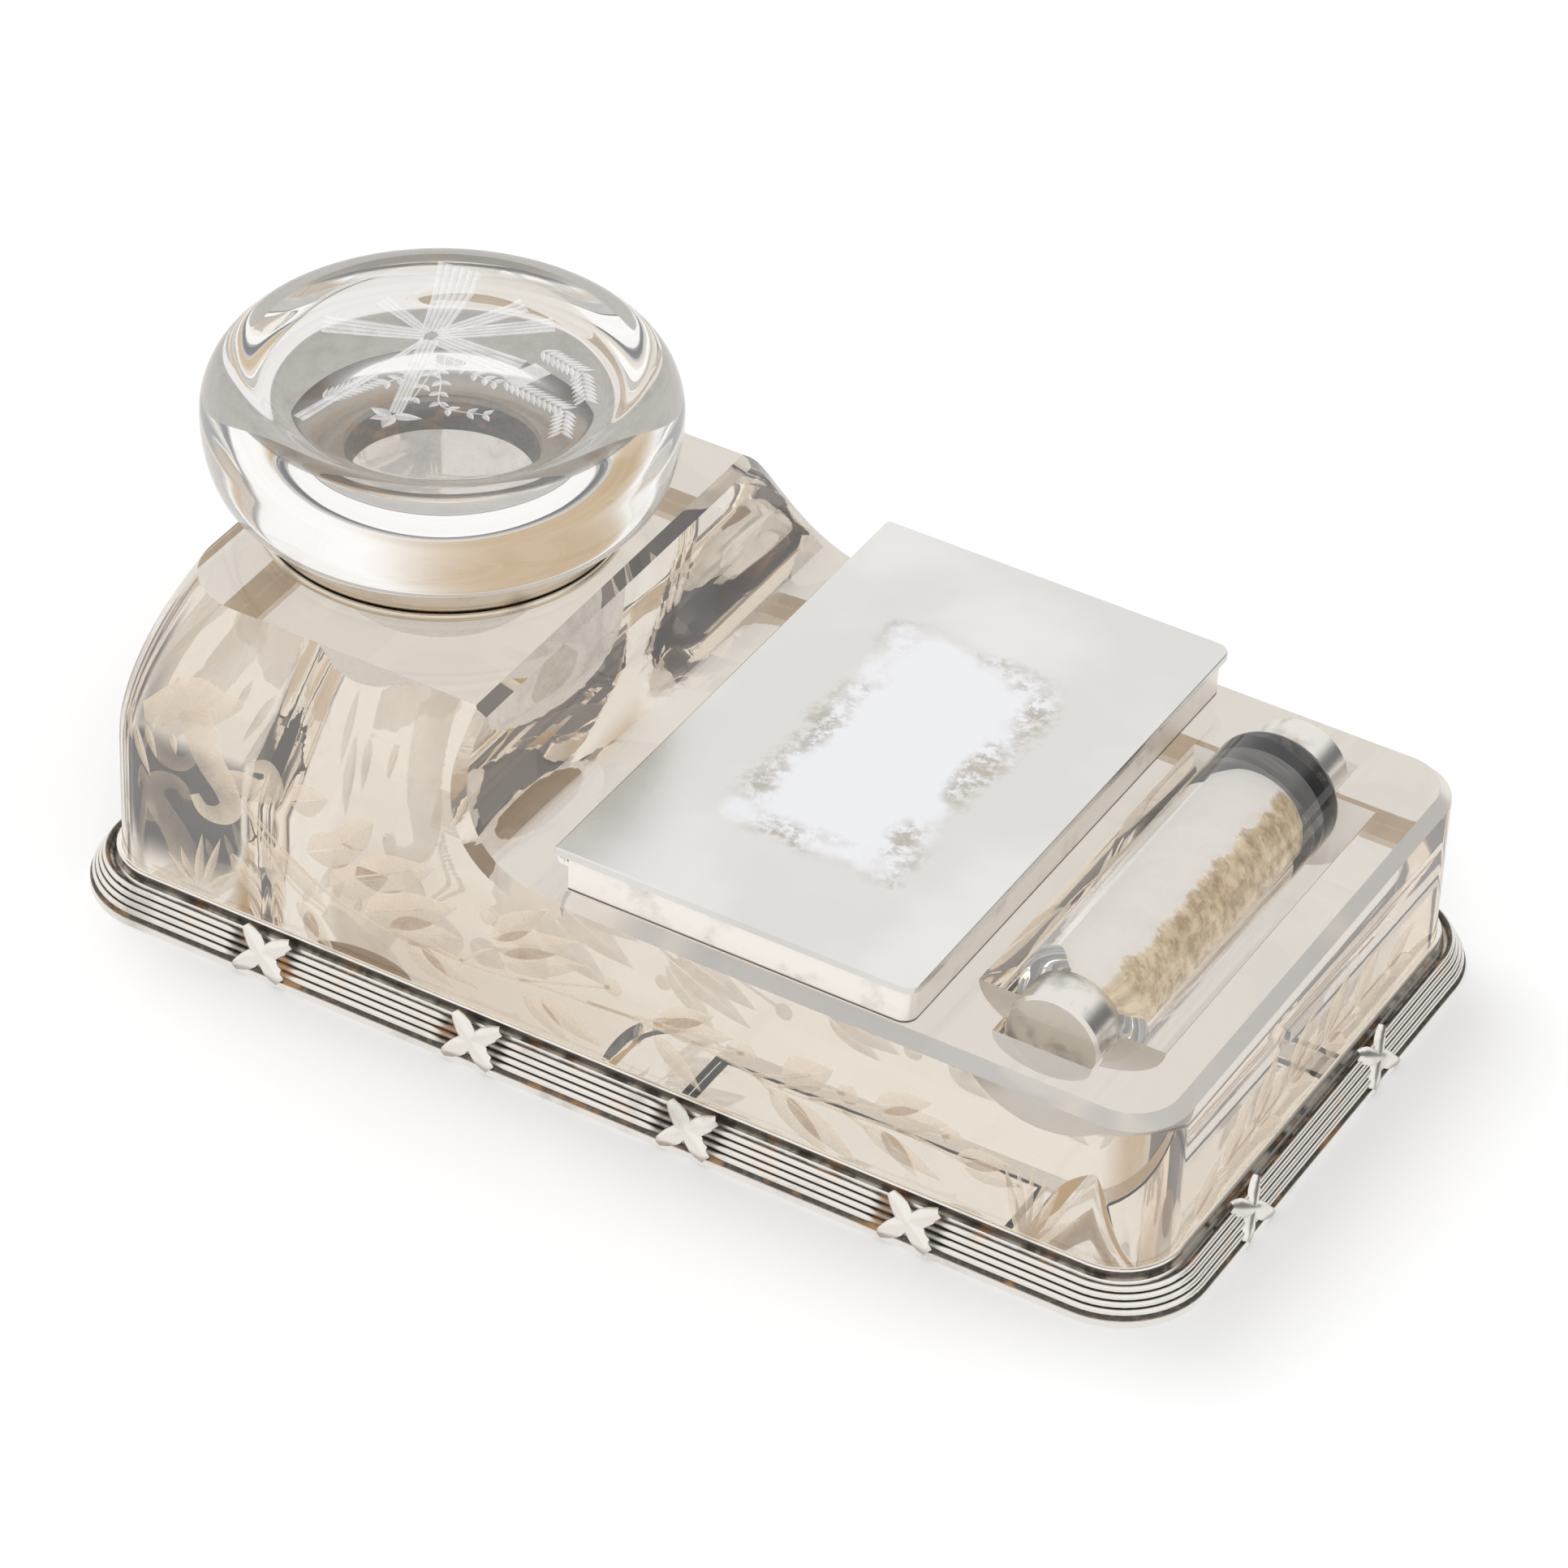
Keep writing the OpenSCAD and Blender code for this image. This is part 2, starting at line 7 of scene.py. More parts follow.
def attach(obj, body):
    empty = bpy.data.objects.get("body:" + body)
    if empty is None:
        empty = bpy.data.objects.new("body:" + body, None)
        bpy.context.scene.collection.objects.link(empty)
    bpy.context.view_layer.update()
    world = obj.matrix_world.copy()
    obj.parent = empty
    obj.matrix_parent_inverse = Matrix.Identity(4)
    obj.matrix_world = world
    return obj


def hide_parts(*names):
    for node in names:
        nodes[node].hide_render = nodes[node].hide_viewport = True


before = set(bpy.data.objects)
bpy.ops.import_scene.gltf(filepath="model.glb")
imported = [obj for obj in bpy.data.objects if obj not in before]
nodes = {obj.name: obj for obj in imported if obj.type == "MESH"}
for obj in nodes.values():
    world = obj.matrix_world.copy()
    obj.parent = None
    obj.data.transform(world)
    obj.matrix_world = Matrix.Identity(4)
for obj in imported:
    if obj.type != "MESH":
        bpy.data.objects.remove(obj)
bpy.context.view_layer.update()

# ---------------------------------------------------------------- foot frame
# A cast and soldered moulding of silver: a thin upright bezel round the glass, a deep hollow, four
# half-round reeds and a plain flange. The hollow and the lines between the reeds hold dark tarnish
# with coppery spots, and the crests are rubbed bright.

MM = 0.001  # metres in a millimetre
GLASS_L, GLASS_W, GLASS_R = 172.8, 95.4, 9.0  # the block: length, width, corners' radius, in mm
REED_TOP = (2.3, 4.9)  # highest reed: out from the glass, up
REED_SLOPE = math.radians(60.7)
BEZEL_OUT, BEZEL_UP, FLANGE_UP = 0.95, 4.6, 1.25 # bezel's thickness, where it starts, flange's top
TIE_LONG = [-55.4, -19.8, 15.8, 51.4]  # ties along the near side from the left, in mm


def feed(value, target, name):
    """Set a node's input, by its name or number, or link a Shade to it."""
    if isinstance(value, Shade):
        value.tree.links.new(value.socket, target.inputs[name])
    else:
        target.inputs[name].default_value = value


class Shade:
    """A value in a material's node tree. Arithmetic on it adds Math nodes."""

    def __init__(self, tree, socket=None):
        self.tree, self.socket = tree, socket

    def node(self, kind, out=0, setting=None, **inputs):
        """A new node's output. Inputs go by name, with _ for a space, or as i0, i1 by number."""
        made = self.tree.nodes.new(kind)
        for name, value in (setting or {}).items():
            setattr(made, name, value)
        for name, value in inputs.items():
            feed(value, made, int(name[1:]) if name[1:].isdigit() else name.replace("_", " "))
        return Shade(self.tree, made.outputs[out])

    def maths(self, operation, *values):
        numbered = {f"i{k}": value for k, value in enumerate(values)}
        return self.node("ShaderNodeMath", setting={"operation": operation}, **numbered)

    def __add__(self, other): return self.maths("ADD", self, other)
    def __radd__(self, other): return self.maths("ADD", other, self)
    def __sub__(self, other): return self.maths("SUBTRACT", self, other)
    def __rsub__(self, other): return self.maths("SUBTRACT", other, self)
    def __mul__(self, other): return self.maths("MULTIPLY", self, other)
    def __truediv__(self, other): return self.maths("DIVIDE", self, other)
    def __pow__(self, other): return self.maths("POWER", self, other)
    def __abs__(self): return self.maths("ABSOLUTE", self)

    def least(self, other): return self.maths("MINIMUM", self, other)
    def most(self, other): return self.maths("MAXIMUM", self, other)

    def rise(self, low, high):
        """0 below low, 1 above high, smooth between; low may be the greater."""
        return self.node("ShaderNodeMapRange", setting={"interpolation_type": "SMOOTHSTEP"},
                         Value=self, From_Min=low, From_Max=high)

    def noise(self, place, size_mm, detail, rough):
        return self.node("ShaderNodeTexNoise", Vector=place, Scale=1000.0 / size_mm, Detail=detail,
                         Roughness=rough)

    def blend(self, first, second):
        """A colour that goes from first to second with this value."""
        return self.node("ShaderNodeMix", out=2, setting={"data_type": "RGBA"}, i0=self, i6=first, i7=second)


def bare_tree(owner):
    """A Shade on a material's or world's emptied node tree."""
    owner.use_nodes = True
    owner.node_tree.nodes.clear()
    return Shade(owner.node_tree)


def show(shader, kind):
    """Link a shader to a new output node."""
    out = shader.tree.nodes.new(kind)
    shader.tree.links.new(shader.socket, out.inputs[0])


def split_axes(place):
    """The three parts of a vector."""
    split = place.tree.nodes.new("ShaderNodeSeparateXYZ")
    place.tree.links.new(place.socket, split.inputs[0])
    return [Shade(place.tree, part) for part in split.outputs]


def start_material(name):
    """A new material: its Shade, its Principled node, Object coordinates, and x, y, z in mm."""
    made = bpy.data.materials.new(name)
    maker = bare_tree(made)
    surface = maker.tree.nodes.new("ShaderNodeBsdfPrincipled")
    show(Shade(maker.tree, surface.outputs[0]), "ShaderNodeOutputMaterial")
    place = maker.node("ShaderNodeTexCoord", out=3)
    return made, maker, surface, place, [axis * 1000.0 for axis in split_axes(place)]


BRIGHT = (0.87, 0.84, 0.79, 1)
TARNISH = (0.075, 0.062, 0.05, 1)
COPPER = (0.42, 0.25, 0.13, 1)
PAINTED_INNER_GLOW = (0.2, 0.15, 0.09, 1)  # painted glow in place of the light that the glass holds against the frame's inner side
MOST_TARNISH = 0.96


def silver(name, tarnish_and_shade=None, wear=0.35, gloss=0.16, bump=0.12, tone=BRIGHT, metal=1.0, dull_and_glow=None):
    """Old silver. Its first mask, of maker and xyz, says where tarnish lies, and painted shade on the stamp
    box; its second, of xyz, where it is no mirror and has a painted glow; both 0 to 1.
    """
    made, maker, surface, place, xyz = start_material(name)
    clouds = maker.noise(place, 9.0, 4.0, 0.6)
    specks = maker.noise(place, 0.9, 3.0, 0.7)
    held = clouds.rise(0.5, 0.78) * wear + specks.rise(0.66, 0.8) * wear * 0.8
    if tarnish_and_shade:
        held = held.most(tarnish_and_shade(maker, xyz) * (0.72 + specks * 0.45))
    held = held.least(MOST_TARNISH)
    warm = maker.noise(place, 5.0, 3.0, 0.5).rise(0.52, 0.7) * held
    feed(warm.blend(held.blend(tone, TARNISH), COPPER), surface, "Base Color")
    feed(gloss + held * 0.3 + clouds * 0.06, surface, "Roughness")
    scratch = maker.noise(place, 0.5, 4.0, 0.7) + maker.noise(place, 4.0, 2.0, 0.5) * 2.0
    feed(maker.node("ShaderNodeBump", Height=scratch, Strength=bump, Distance=0.04 * MM), surface, "Normal")
    feed(metal, surface, "Metallic")
    if dull_and_glow:
        inner = dull_and_glow(xyz)
        feed(1.0 - inner, surface, "Metallic")
        # a painted glow on the bezel's inner face, emission in place of light from the glass
        feed(inner.blend((0, 0, 0, 1), PAINTED_INNER_GLOW), surface, "Emission Color")
        feed(1.0, surface, "Emission Strength")
    return made


def finish_nodes(finish, *names):
    """Give nodes that keep their CAD shape a material."""
    for name in names:
        nodes[name].data.materials.clear()
        nodes[name].data.materials.append(finish)


def beyond_glass(xyz):
    """How far a point of the frame lies outside the glass's side, in mm."""
    qx, qy = abs(xyz[0]) - (GLASS_L / 2 - GLASS_R), abs(xyz[1]) - (GLASS_W / 2 - GLASS_R)
    return ((qx.most(0) ** 2.0 + qy.most(0) ** 2.0) ** 0.5) + qx.most(qy).least(0) - GLASS_R


def inner_side(xyz):
    """0.85 on the bezel's face against the glass, where little of the mirror is left and a painted glow
    stands in for light held in the glass.
    """
    return beyond_glass(xyz).rise(0.45, 0.3) * 0.85


def frame_dirt(maker, xyz):
    """Tarnish below the reeds' crests, worn thinner in patches and kept off bezel and flange."""
    x, y, z = xyz
    out = beyond_glass(xyz)
    above_reeds = (out - REED_TOP[0]) * math.sin(REED_SLOPE) + (z - REED_TOP[1]) * math.cos(REED_SLOPE)
    nearest = None
    for place in TIE_LONG:
        gap = abs(x * y.maths("SIGN", y) + place)
        nearest = gap if nearest is None else nearest.least(gap)
    round_ties = nearest.rise(7.0, 4.0) * 0.2
    hollow = (above_reeds - round_ties).rise(0.5, 0.27)
    spot = maker.node("ShaderNodeTexCoord", out=3)
    rubbed = maker.noise(spot, 4.5, 3.0, 0.6).rise(0.6, 0.42) * out.rise(1.9, 1.6)
    bezel = out.rise(BEZEL_OUT, BEZEL_OUT - 0.15) * z.rise(BEZEL_UP - 0.6, BEZEL_UP)
    flange = z.rise(FLANGE_UP, FLANGE_UP - 0.25)
    return hollow * (1.0 - rubbed * 0.6) * (1.0 - bezel) * (1.0 - flange) * out.rise(0.9, 1.2)


finish_nodes(silver("silver_frame", frame_dirt, wear=0.3, gloss=0.2, dull_and_glow=inner_side), "foot_frame")

# --------------------------------------------------------------- ribbon ties
# Twelve crossed ribbons of silver, soldered across the reeds: four on each long side and two
# on each short one. Each ribbon is a thin strip with a raised middle line and narrow ends.

TIE_SHORT = [-23.0, 15.6]  # along the roller's end, from the near side
RIBBON_L, RIBBON_W, RIBBON_H = 9.8, 2.9, 0.75  # height is that of the middle line
TIE_TURN, TIE_LIFT = math.radians(37), 0.2  # each ribbon off the cross, the upper one's bow
SEAT_OUT, SEAT_UP, SEAT_GAP = REED_TOP[0] + 0.8, REED_TOP[1] - 1.425, 0.25


def build_mesh(name, points, faces, materials, body, smooth=False):
    """A finished piece at the origin that rides on a body; points are in mm."""
    mesh = bpy.data.meshes.new(name)
    mesh.from_pydata([tuple(c * MM for c in p) for p in points], [], faces)
    mesh.validate()
    for material in materials:
        mesh.materials.append(material)
    if smooth:
        mesh.shade_smooth()
    made = bpy.data.objects.new(name, mesh)
    bpy.context.scene.collection.objects.link(made)
    if body:
        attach(made, body)
    return made


def strip_faces(start, steps, across):
    """Faces between rows of points, each row across + 1 points long."""
    row = across + 1
    return [(a, a + row, a + row + 1, a + 1) for i in range(steps)
            for a in range(start + i * row, start + i * row + across)]


def ribbon_strip(turn, lift):
    """One ribbon of a tie in the tie's own plane, bowed over the reeds: its points and faces."""
    points = []
    for i in range(9):
        t = i / 8 * 2 - 1
        half = RIBBON_W / 2 * (0.3 + 0.7 * math.sin(math.pi * (0.18 + 0.72 * abs(t))))
        rise = 0.16 * (1 - t * t) + lift * math.exp(-(t / 0.3) ** 2)
        for side, high in ((-1, 0.0), (-0.86, 0.2), (0, RIBBON_H), (0.86, 0.2), (1, 0.0)):
            a, b = t * RIBBON_L / 2, side * half
            points.append((a * math.cos(turn) - b * math.sin(turn),
                           a * math.sin(turn) + b * math.cos(turn), high + rise))
    return points, strip_faces(0, 8, 4)


tie_points, tie_faces = [], []
for turn, lift in ((TIE_TURN, 0.0), (-TIE_TURN, TIE_LIFT)):
    points, faces = ribbon_strip(turn, lift)
    tie_faces += [tuple(k + len(tie_points) for k in f) for f in faces]
    tie_points += points
# seat the tie on the slope of the reeds, for a side that faces -Y at y = 0
tie_tilt = Matrix.Rotation(REED_SLOPE, 3, "X")
tie_seated = []
for p in tie_points:
    q = tie_tilt @ Vector((p[0], p[1], p[2] + SEAT_GAP))
    tie_seated.append((q.x, q.y - SEAT_OUT, q.z + SEAT_UP))

tie_silver = silver("silver_tie", lambda maker, xyz: xyz[2].rise(2.0, 1.2) * 0.5, wear=0.25, gloss=0.18)
tie_one = build_mesh("tie_pattern", tie_seated, tie_faces, [tie_silver], None, smooth=True)

# Geometry Nodes set a copy of a pattern on each point, turned and sized by the point's attributes
copies = bpy.data.node_groups.new("set_copies", "GeometryNodeTree")
copies.is_modifier = True
copies.interface.new_socket("Geometry", in_out="INPUT", socket_type="NodeSocketGeometry")
pattern_slot = copies.interface.new_socket("Pattern", in_out="INPUT", socket_type="NodeSocketObject")
copies.interface.new_socket("Geometry", in_out="OUTPUT", socket_type="NodeSocketGeometry")
enter, leave, info, facing, size, euler, setter, real = (copies.nodes.new(kind) for kind in (
    "NodeGroupInput", "NodeGroupOutput", "GeometryNodeObjectInfo", "GeometryNodeInputNamedAttribute",
    "GeometryNodeInputNamedAttribute", "FunctionNodeEulerToRotation", "GeometryNodeInstanceOnPoints",
    "GeometryNodeRealizeInstances"))
for reader, label in ((facing, "facing"), (size, "size")):
    reader.data_type = "FLOAT_VECTOR"
    reader.inputs[0].default_value = label
for source, target in (
        (enter.outputs[0], setter.inputs["Points"]), (enter.outputs[1], info.inputs[0]),
        (info.outputs["Geometry"], setter.inputs["Instance"]), (facing.outputs["Attribute"], euler.inputs[0]),
        (euler.outputs[0], setter.inputs["Rotation"]), (size.outputs["Attribute"], setter.inputs["Scale"]),
        (setter.outputs[0], real.inputs[0]), (real.outputs[0], leave.inputs[0])):
    copies.links.new(source, target)


def set_copies(name, pattern, places, turns, sizes):
    """One plain mesh of pattern's copies at places (mm), turned about Z and sized; pattern is used up."""
    host = build_mesh(name + "_places", places, [], [], None)
    facing = host.data.attributes.new("facing", "FLOAT_VECTOR", "POINT")
    size = host.data.attributes.new("size", "FLOAT_VECTOR", "POINT")
    for k, (turn, by) in enumerate(zip(turns, sizes)):
        facing.data[k].vector = (0, 0, turn)
        size.data[k].vector = by
    step = host.modifiers.new("grow", "NODES")
    step.node_group = copies
    step[pattern_slot.identifier] = pattern
    view = bpy.context.evaluated_depsgraph_get()
    mesh = bpy.data.meshes.new_from_object(host.evaluated_get(view))
    made = bpy.data.objects.new(name, mesh)
    bpy.context.scene.collection.objects.link(made)
    bpy.data.objects.remove(host)
    bpy.data.objects.remove(pattern)
    return made


places, facings = [], []
for x in TIE_LONG:
    places += [(x, -GLASS_W / 2, 0), (-x, GLASS_W / 2, 0)]
    facings += [0.0, math.pi]
for y in TIE_SHORT:
    places += [(GLASS_L / 2, y, 0), (-GLASS_L / 2, -y, 0)]
    facings += [math.pi / 2, -math.pi / 2]
ties = set_copies("crossed_ties", tie_one, places, facings, [(1, 1, 1)] * len(places))
ties.data.shade_smooth()
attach(ties, "base")
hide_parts("ribbon_ties")

# --------------------------------------------------------------- glass block
# One thick block of cast glass, ground and polished flat outside, with a faint warm tone. Light
# that total reflection would hold inside for ever is put back as a painted glow of its volume.

def glass(name, warmth, painted_haze, tint=(1, 1, 1, 1), ripple=0.0, satin=0.0, blur=None):
    """Clear glass. warmth is what it absorbs, and its haze a painted glow: each a colour and a strength per
    metre.
    """
    made, maker, surface, place, xyz = start_material(name)
    feed(tint, surface, "Base Color")
    feed(1.0 - satin, surface, "Transmission Weight")
    feed(1.5, surface, "IOR")
    feed(satin * 0.6 if blur is None else blur, surface, "Roughness")
    if ripple:
        waves = maker.noise(place, 6.0, 2.0, 0.5)
        bumps = maker.node("ShaderNodeBump", Height=waves, Strength=ripple, Distance=0.2 * MM)
        feed(bumps, surface, "Normal")
    absorbed = maker.node("ShaderNodeVolumeAbsorption", Color=warmth[0], Density=warmth[1])
    # a painted glow through the volume
    painted_glow = maker.node("ShaderNodeEmission", Color=painted_haze[0], Strength=painted_haze[1])
    feed(maker.node("ShaderNodeAddShader", i0=absorbed, i1=painted_glow), maker.tree.get_output_node("ALL"), "Volume")
    return made


WARMTH, PAINTED_HAZE = ((0.8, 0.65, 0.42, 1), 4.2), ((0.97, 0.96, 1.0, 1), 0.85)
block_glass = glass("glass_warm", WARMTH, PAINTED_HAZE, ripple=0.03)
bevel_glass = glass("glass_satin_bevel", WARMTH, PAINTED_HAZE, (0.95, 0.92, 0.88, 1), satin=0.4)
under_glass = glass("glass_smoothed_underside", WARMTH, PAINTED_HAZE, (0.9, 0.87, 0.83, 1), satin=0.1, blur=0.0)

# all in mm
TOP, DECK, SEAT = 50.0, 32.7, 1.2  # heights of the raised end, the low deck and the foot
HALF_L, HALF_W = GLASS_L / 2, GLASS_W / 2
BEVEL = 1.8  # round the deck
SHOULDER_Z, ROUNDER_Z, ROUNDER = 26, 31, 2.0  # shoulders start, corners start to widen, by how much
ARRIS, SCOOP_R, SCOOP_DIP = -27.4, 16.0, 2.5  # the scoop's upper edge along x, radius, depth
SCOOP_X, SCOOP_Z = ARRIS + SCOOP_R, DECK - SCOOP_DIP + SCOOP_R
SCOOP_END, SCOOP_LIP = -7.88, TOP - 1.6  # where its floor meets the deck, where its curve ends
END_BEVEL = 1.3  # along the scoop's two ends
WELL_X, WELL_R, WELL_FLOOR, WELL_ROUND = -58.0, 16.0, 21.0, 9.0
ROLLER_X, ROLLER_Z = 64.2, 32.0  # the roller's axis
TROUGH_R, TROUGH_HALF, SLOT_R, SLOT_END = 14.5, 31.5, 7.65, 40.0
CLEAR = 9  # how far a cutter stands above the deck


def drawn_in(z, radius, inset):
    """How far a shoulder of that radius, inset mm at the top, has drawn in at height z."""
    start = TOP - math.sqrt(radius ** 2 - (radius - inset) ** 2)
    return 0.0 if z <= start else radius - math.sqrt(radius ** 2 - (z - start) ** 2)


def side_in(z): return drawn_in(z, 28.4, 11.5)
def end_in(z): return drawn_in(z, 70.0, 5.3)


def corner_round(z):
    """The raised end's corners widen a little towards the top."""
    return GLASS_R + ROUNDER * max(0.0, (z - ROUNDER_Z) / (TOP - ROUNDER_Z))


def solid(name, rings):
    """A closed solid through rings of equally many points, in mm; it rides on no body yet."""
    count = len(rings[0])
    points = [p for ring in rings for p in ring]
    faces = [tuple(range(count))[::-1], tuple(range(len(points) - count, len(points)))]
    for i in range(len(rings) - 1):
        for k in range(count):
            a, b = i * count + k, i * count + (k + 1) % count
            faces.append((a, b, b + count, a + count))
    made = build_mesh(name, points, faces, [], None)
    step = bmesh.new()
    step.from_mesh(made.data)
    bmesh.ops.recalc_face_normals(step, faces=step.faces)
    step.to_mesh(made.data)
    step.free()
    return made


def arc(cx, cy, radius, start, end, count):
    return [(cx + radius * math.cos(start + (end - start) * k / count),
             cy + radius * math.sin(start + (end - start) * k / count)) for k in range(count + 1)]


def deck_ring(z, inset, radius):
    """The low deck's outline at a height, open towards the raised end."""
    l, w = HALF_L - inset, HALF_W - inset
    near = arc(l - radius, -w + radius, radius, -math.pi / 2, 0, 20)
    far = arc(l - radius, w - radius, radius, 0, math.pi / 2, 20)
    points = [(SCOOP_X - 1, w)] + (near + far)[::-1] + [(SCOOP_X - 1, -w)]
    return [(x, y, z) for x, y in points]


def raised_ring(z):
    """The raised end's outline at a height, cut straight through the scoop's middle."""
    l, w, radius = HALF_L - end_in(z), HALF_W - side_in(z), corner_round(z)
    near = arc(-l + radius, -w + radius, radius, -math.pi / 2, -math.pi, 20)
    far = arc(-l + radius, w - radius, radius, math.pi, math.pi / 2, 20)
    return [(x, y, z) for x, y in [(SCOOP_X, -w)] + near + far + [(SCOOP_X, w)]]


def scoop_ring(y):
    """The scoop's section, with a lip that slopes away at 45 degrees over its curve."""
    floor = math.asin((SCOOP_END - SCOOP_X) / SCOOP_R)
    curve = arc(SCOOP_X, SCOOP_Z, SCOOP_R, math.pi, math.pi * 1.5 + floor, 44)
    high = TOP + 8
    points = [(SCOOP_END, high), (ARRIS - (high - SCOOP_LIP), high), (ARRIS, SCOOP_LIP)] + curve
    return [(x, y, z) for x, z in points]


def bevel_cutter(side):
    """What the wheel takes off along the scoop's end: a three-cornered bar laid on the edge."""
    # down the arris, then round the curve: x, z and the way into the scoop
    path = [(ARRIS, TOP + step, 1.0, 0.0) for step in (4, 1, -0.1, -1.6, -2.8)]
    path += [(SCOOP_X + SCOOP_R * math.cos(a), SCOOP_Z + SCOOP_R * math.sin(a), -math.cos(a), -math.sin(a))
             for a in [math.pi * (1 + 0.575 * k / 30) for k in range(31)]]
    rings = []
    for x, z, cx, cz in path:
        level = min(z, TOP - 0.1)
        w = HALF_W - side_in(level)
        slope = (side_in(level + 0.05) - side_in(level - 0.05)) / 0.1
        out = Vector((0, -1, slope)).normalized()
        clear = Vector((cx, 0, cz))
        three = [Vector((x, -w, z)) + out * u + clear * v for u, v in
                 ((1.2, -END_BEVEL - 1.2), (2.6, 2.6), (-END_BEVEL - 1.2, 1.2))]
        rings.append([(q.x, -side * q.y, q.z) for q in three])
    return solid("bevel_cutter", rings)


def channel(name, z, radius, count, ends):
    """A cutter for a round-bottomed channel under the roller, open at the top."""
    section = arc(ROLLER_X, z, radius, math.pi, 2 * math.pi, count)
    section += [(ROLLER_X + radius, DECK + CLEAR), (ROLLER_X - radius, DECK + CLEAR)]
    return solid(name, [[(x, y, z) for x, z in section] for y in ends])


raised_heights = [SEAT, SEAT + 0.3, 12] + [SHOULDER_Z + (TOP - SHOULDER_Z) * k / 40 for k in range(41)]
block = solid("glass_block_polished", [raised_ring(z) for z in raised_heights])
deck = solid("deck", [deck_ring(SEAT, 0, GLASS_R), deck_ring(DECK - BEVEL, 0, GLASS_R),
                      deck_ring(DECK, BEVEL, GLASS_R - BEVEL)])
well_side = [(0.001, WELL_FLOOR)] + arc(WELL_R - WELL_ROUND, WELL_FLOOR + WELL_ROUND, WELL_ROUND,
                                        -math.pi / 2, 0, 14) + [(WELL_R, TOP + 5)]
cutters = [solid("scoop_cutter", [scoop_ring(y) for y in (-50, 50)]), bevel_cutter(-1), bevel_cutter(1)]
cutters.append(solid("well_cutter", [[(WELL_X + rad * math.cos(a), rad * math.sin(a), z)
                                      for a in [math.pi * 2 * k / 96 for k in range(96)]]
                                     for rad, z in well_side]))
cutters.append(channel("trough_cutter", DECK, TROUGH_R, 56, (-TROUGH_HALF, TROUGH_HALF)))
cutters += [channel("slot_cutter", ROLLER_Z, SLOT_R, 40, (side * (TROUGH_HALF - 0.5), side * SLOT_END))
            for side in (-1, 1)]
for tool in [deck] + cutters:
    step = block.modifiers.new("shape", "BOOLEAN")
    step.operation, step.object, step.solver = "UNION" if tool is deck else "DIFFERENCE", tool, "EXACT"
view = bpy.context.evaluated_depsgraph_get()
shaped = bpy.data.meshes.new_from_object(block.evaluated_get(view))
block.modifiers.clear()
for tool in [deck] + cutters:
    bpy.data.objects.remove(tool)
step = bmesh.new()
step.from_mesh(shaped)
bmesh.ops.remove_doubles(step, verts=step.verts, dist=0.002 * MM)
bmesh.ops.dissolve_limit(step, angle_limit=math.radians(0.4), verts=step.verts, edges=step.edges)
bmesh.ops.triangulate(step, faces=[f for f in step.faces if len(f.verts) > 4])
step.to_mesh(shaped)
step.free()
block.data = shaped
for finish in (block_glass, bevel_glass, under_glass):
    block.data.materials.append(finish)
for face in block.data.polygons:
    x, y, z = (c * 1000 for c in face.center)
    deck_bevel = DECK - BEVEL < z < DECK and 0.2 < face.normal.z < 0.9 and x > SCOOP_END
    trough_end = abs(face.normal.y) > 0.9 and abs(x - ROLLER_X) < TROUGH_R and abs(y) < SLOT_END + 1
    if deck_bevel or trough_end:
        face.material_index = 1
    elif face.normal.z < -0.9 and z < SEAT + 0.1:
        face.material_index = 2


def even_shading(made, degrees):
    """Smooth shading that keeps the flat faces flat, and edges sharper than degrees sharp."""
    made.data.shade_smooth()
    made.data.set_sharp_from_angle(angle=math.radians(degrees))
    step = made.modifiers.new("even", "WEIGHTED_NORMAL")
    step.keep_sharp, step.weight = True, 100


even_shading(block, 24)
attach(block, "base")
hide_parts("glass_block")

# ----------------------------------------------------------------- engraving
# Shallow wheel cutting left matt on the polished sides: a ribbon bow at the raised end with a
# long spray of stems, leaves, buds and berries running from it along each side and end.

CUT_DEPTH = 0.04  # the matt skin stands this far off the polish, in mm
STEM_HALF, MIDRIB = 0.34, 0.05
# the near side's leaves: from s, z to s, z along and up the side, and the leaf's width
SPRAY = [
    (-57.1, 21.9, -53.5, 10, 3), (-54.6, 20.3, -46.5, 13.6, 3.2), (-51.6, 12.9, -45.3, 6.2, 3),
    (-49.6, 11.9, -48.6, 4.8, 2.4), (-62.9, 16.7, -57.4, 9.4, 3), (-52.8, 30.2, -46.4, 33, 4.6),
    (-49.8, 22.6, -40, 27.4, 5.6), (-46, 18.2, -36, 23.8, 5.6), (-41.6, 21.6, -28.4, 28.8, 6),
    (-40, 15.8, -24.4, 23.6, 6.2), (-36, 14.8, -23.8, 18.2, 4.8), (-44, 26.6, -38.8, 32.4, 4.6),
    (-33, 13.6, -25, 8.8, 4), (-30.6, 13.8, -20.6, 10.4, 3.4), (-18.8, 19, -4.1, 26.2, 4.4),
    (-17.6, 17, -3.3, 22.4, 4.6), (-19, 20.6, -10, 29.6, 3.8), (-10.6, 13.2, -0.6, 9.1, 3.6),
    (-13.4, 12.6, -5.6, 7.6, 3.2), (8.6, 18.4, 17.6, 22.8, 3.4), (9.2, 17.2, 20.8, 20.2, 4.2),
    (8, 15, 15.9, 8.4, 3.2), (28.8, 16.9, 36.6, 21.8, 5.6), (26.6, 14.2, 36.5, 6.3, 4.2),
    (29.4, 13.6, 41.2, 7, 3.8), (43.2, 18.7, 52.2, 23.2, 3.6), (44.4, 17.2, 54.9, 20.4, 4),
    (41.5, 14.2, 54.3, 10.1, 3.4), (44.6, 14.6, 50.4, 9, 2.8), (56.4, 15.6, 65, 17.8, 3.4),
    (57.4, 14.4, 66.6, 14.8, 3.2)]
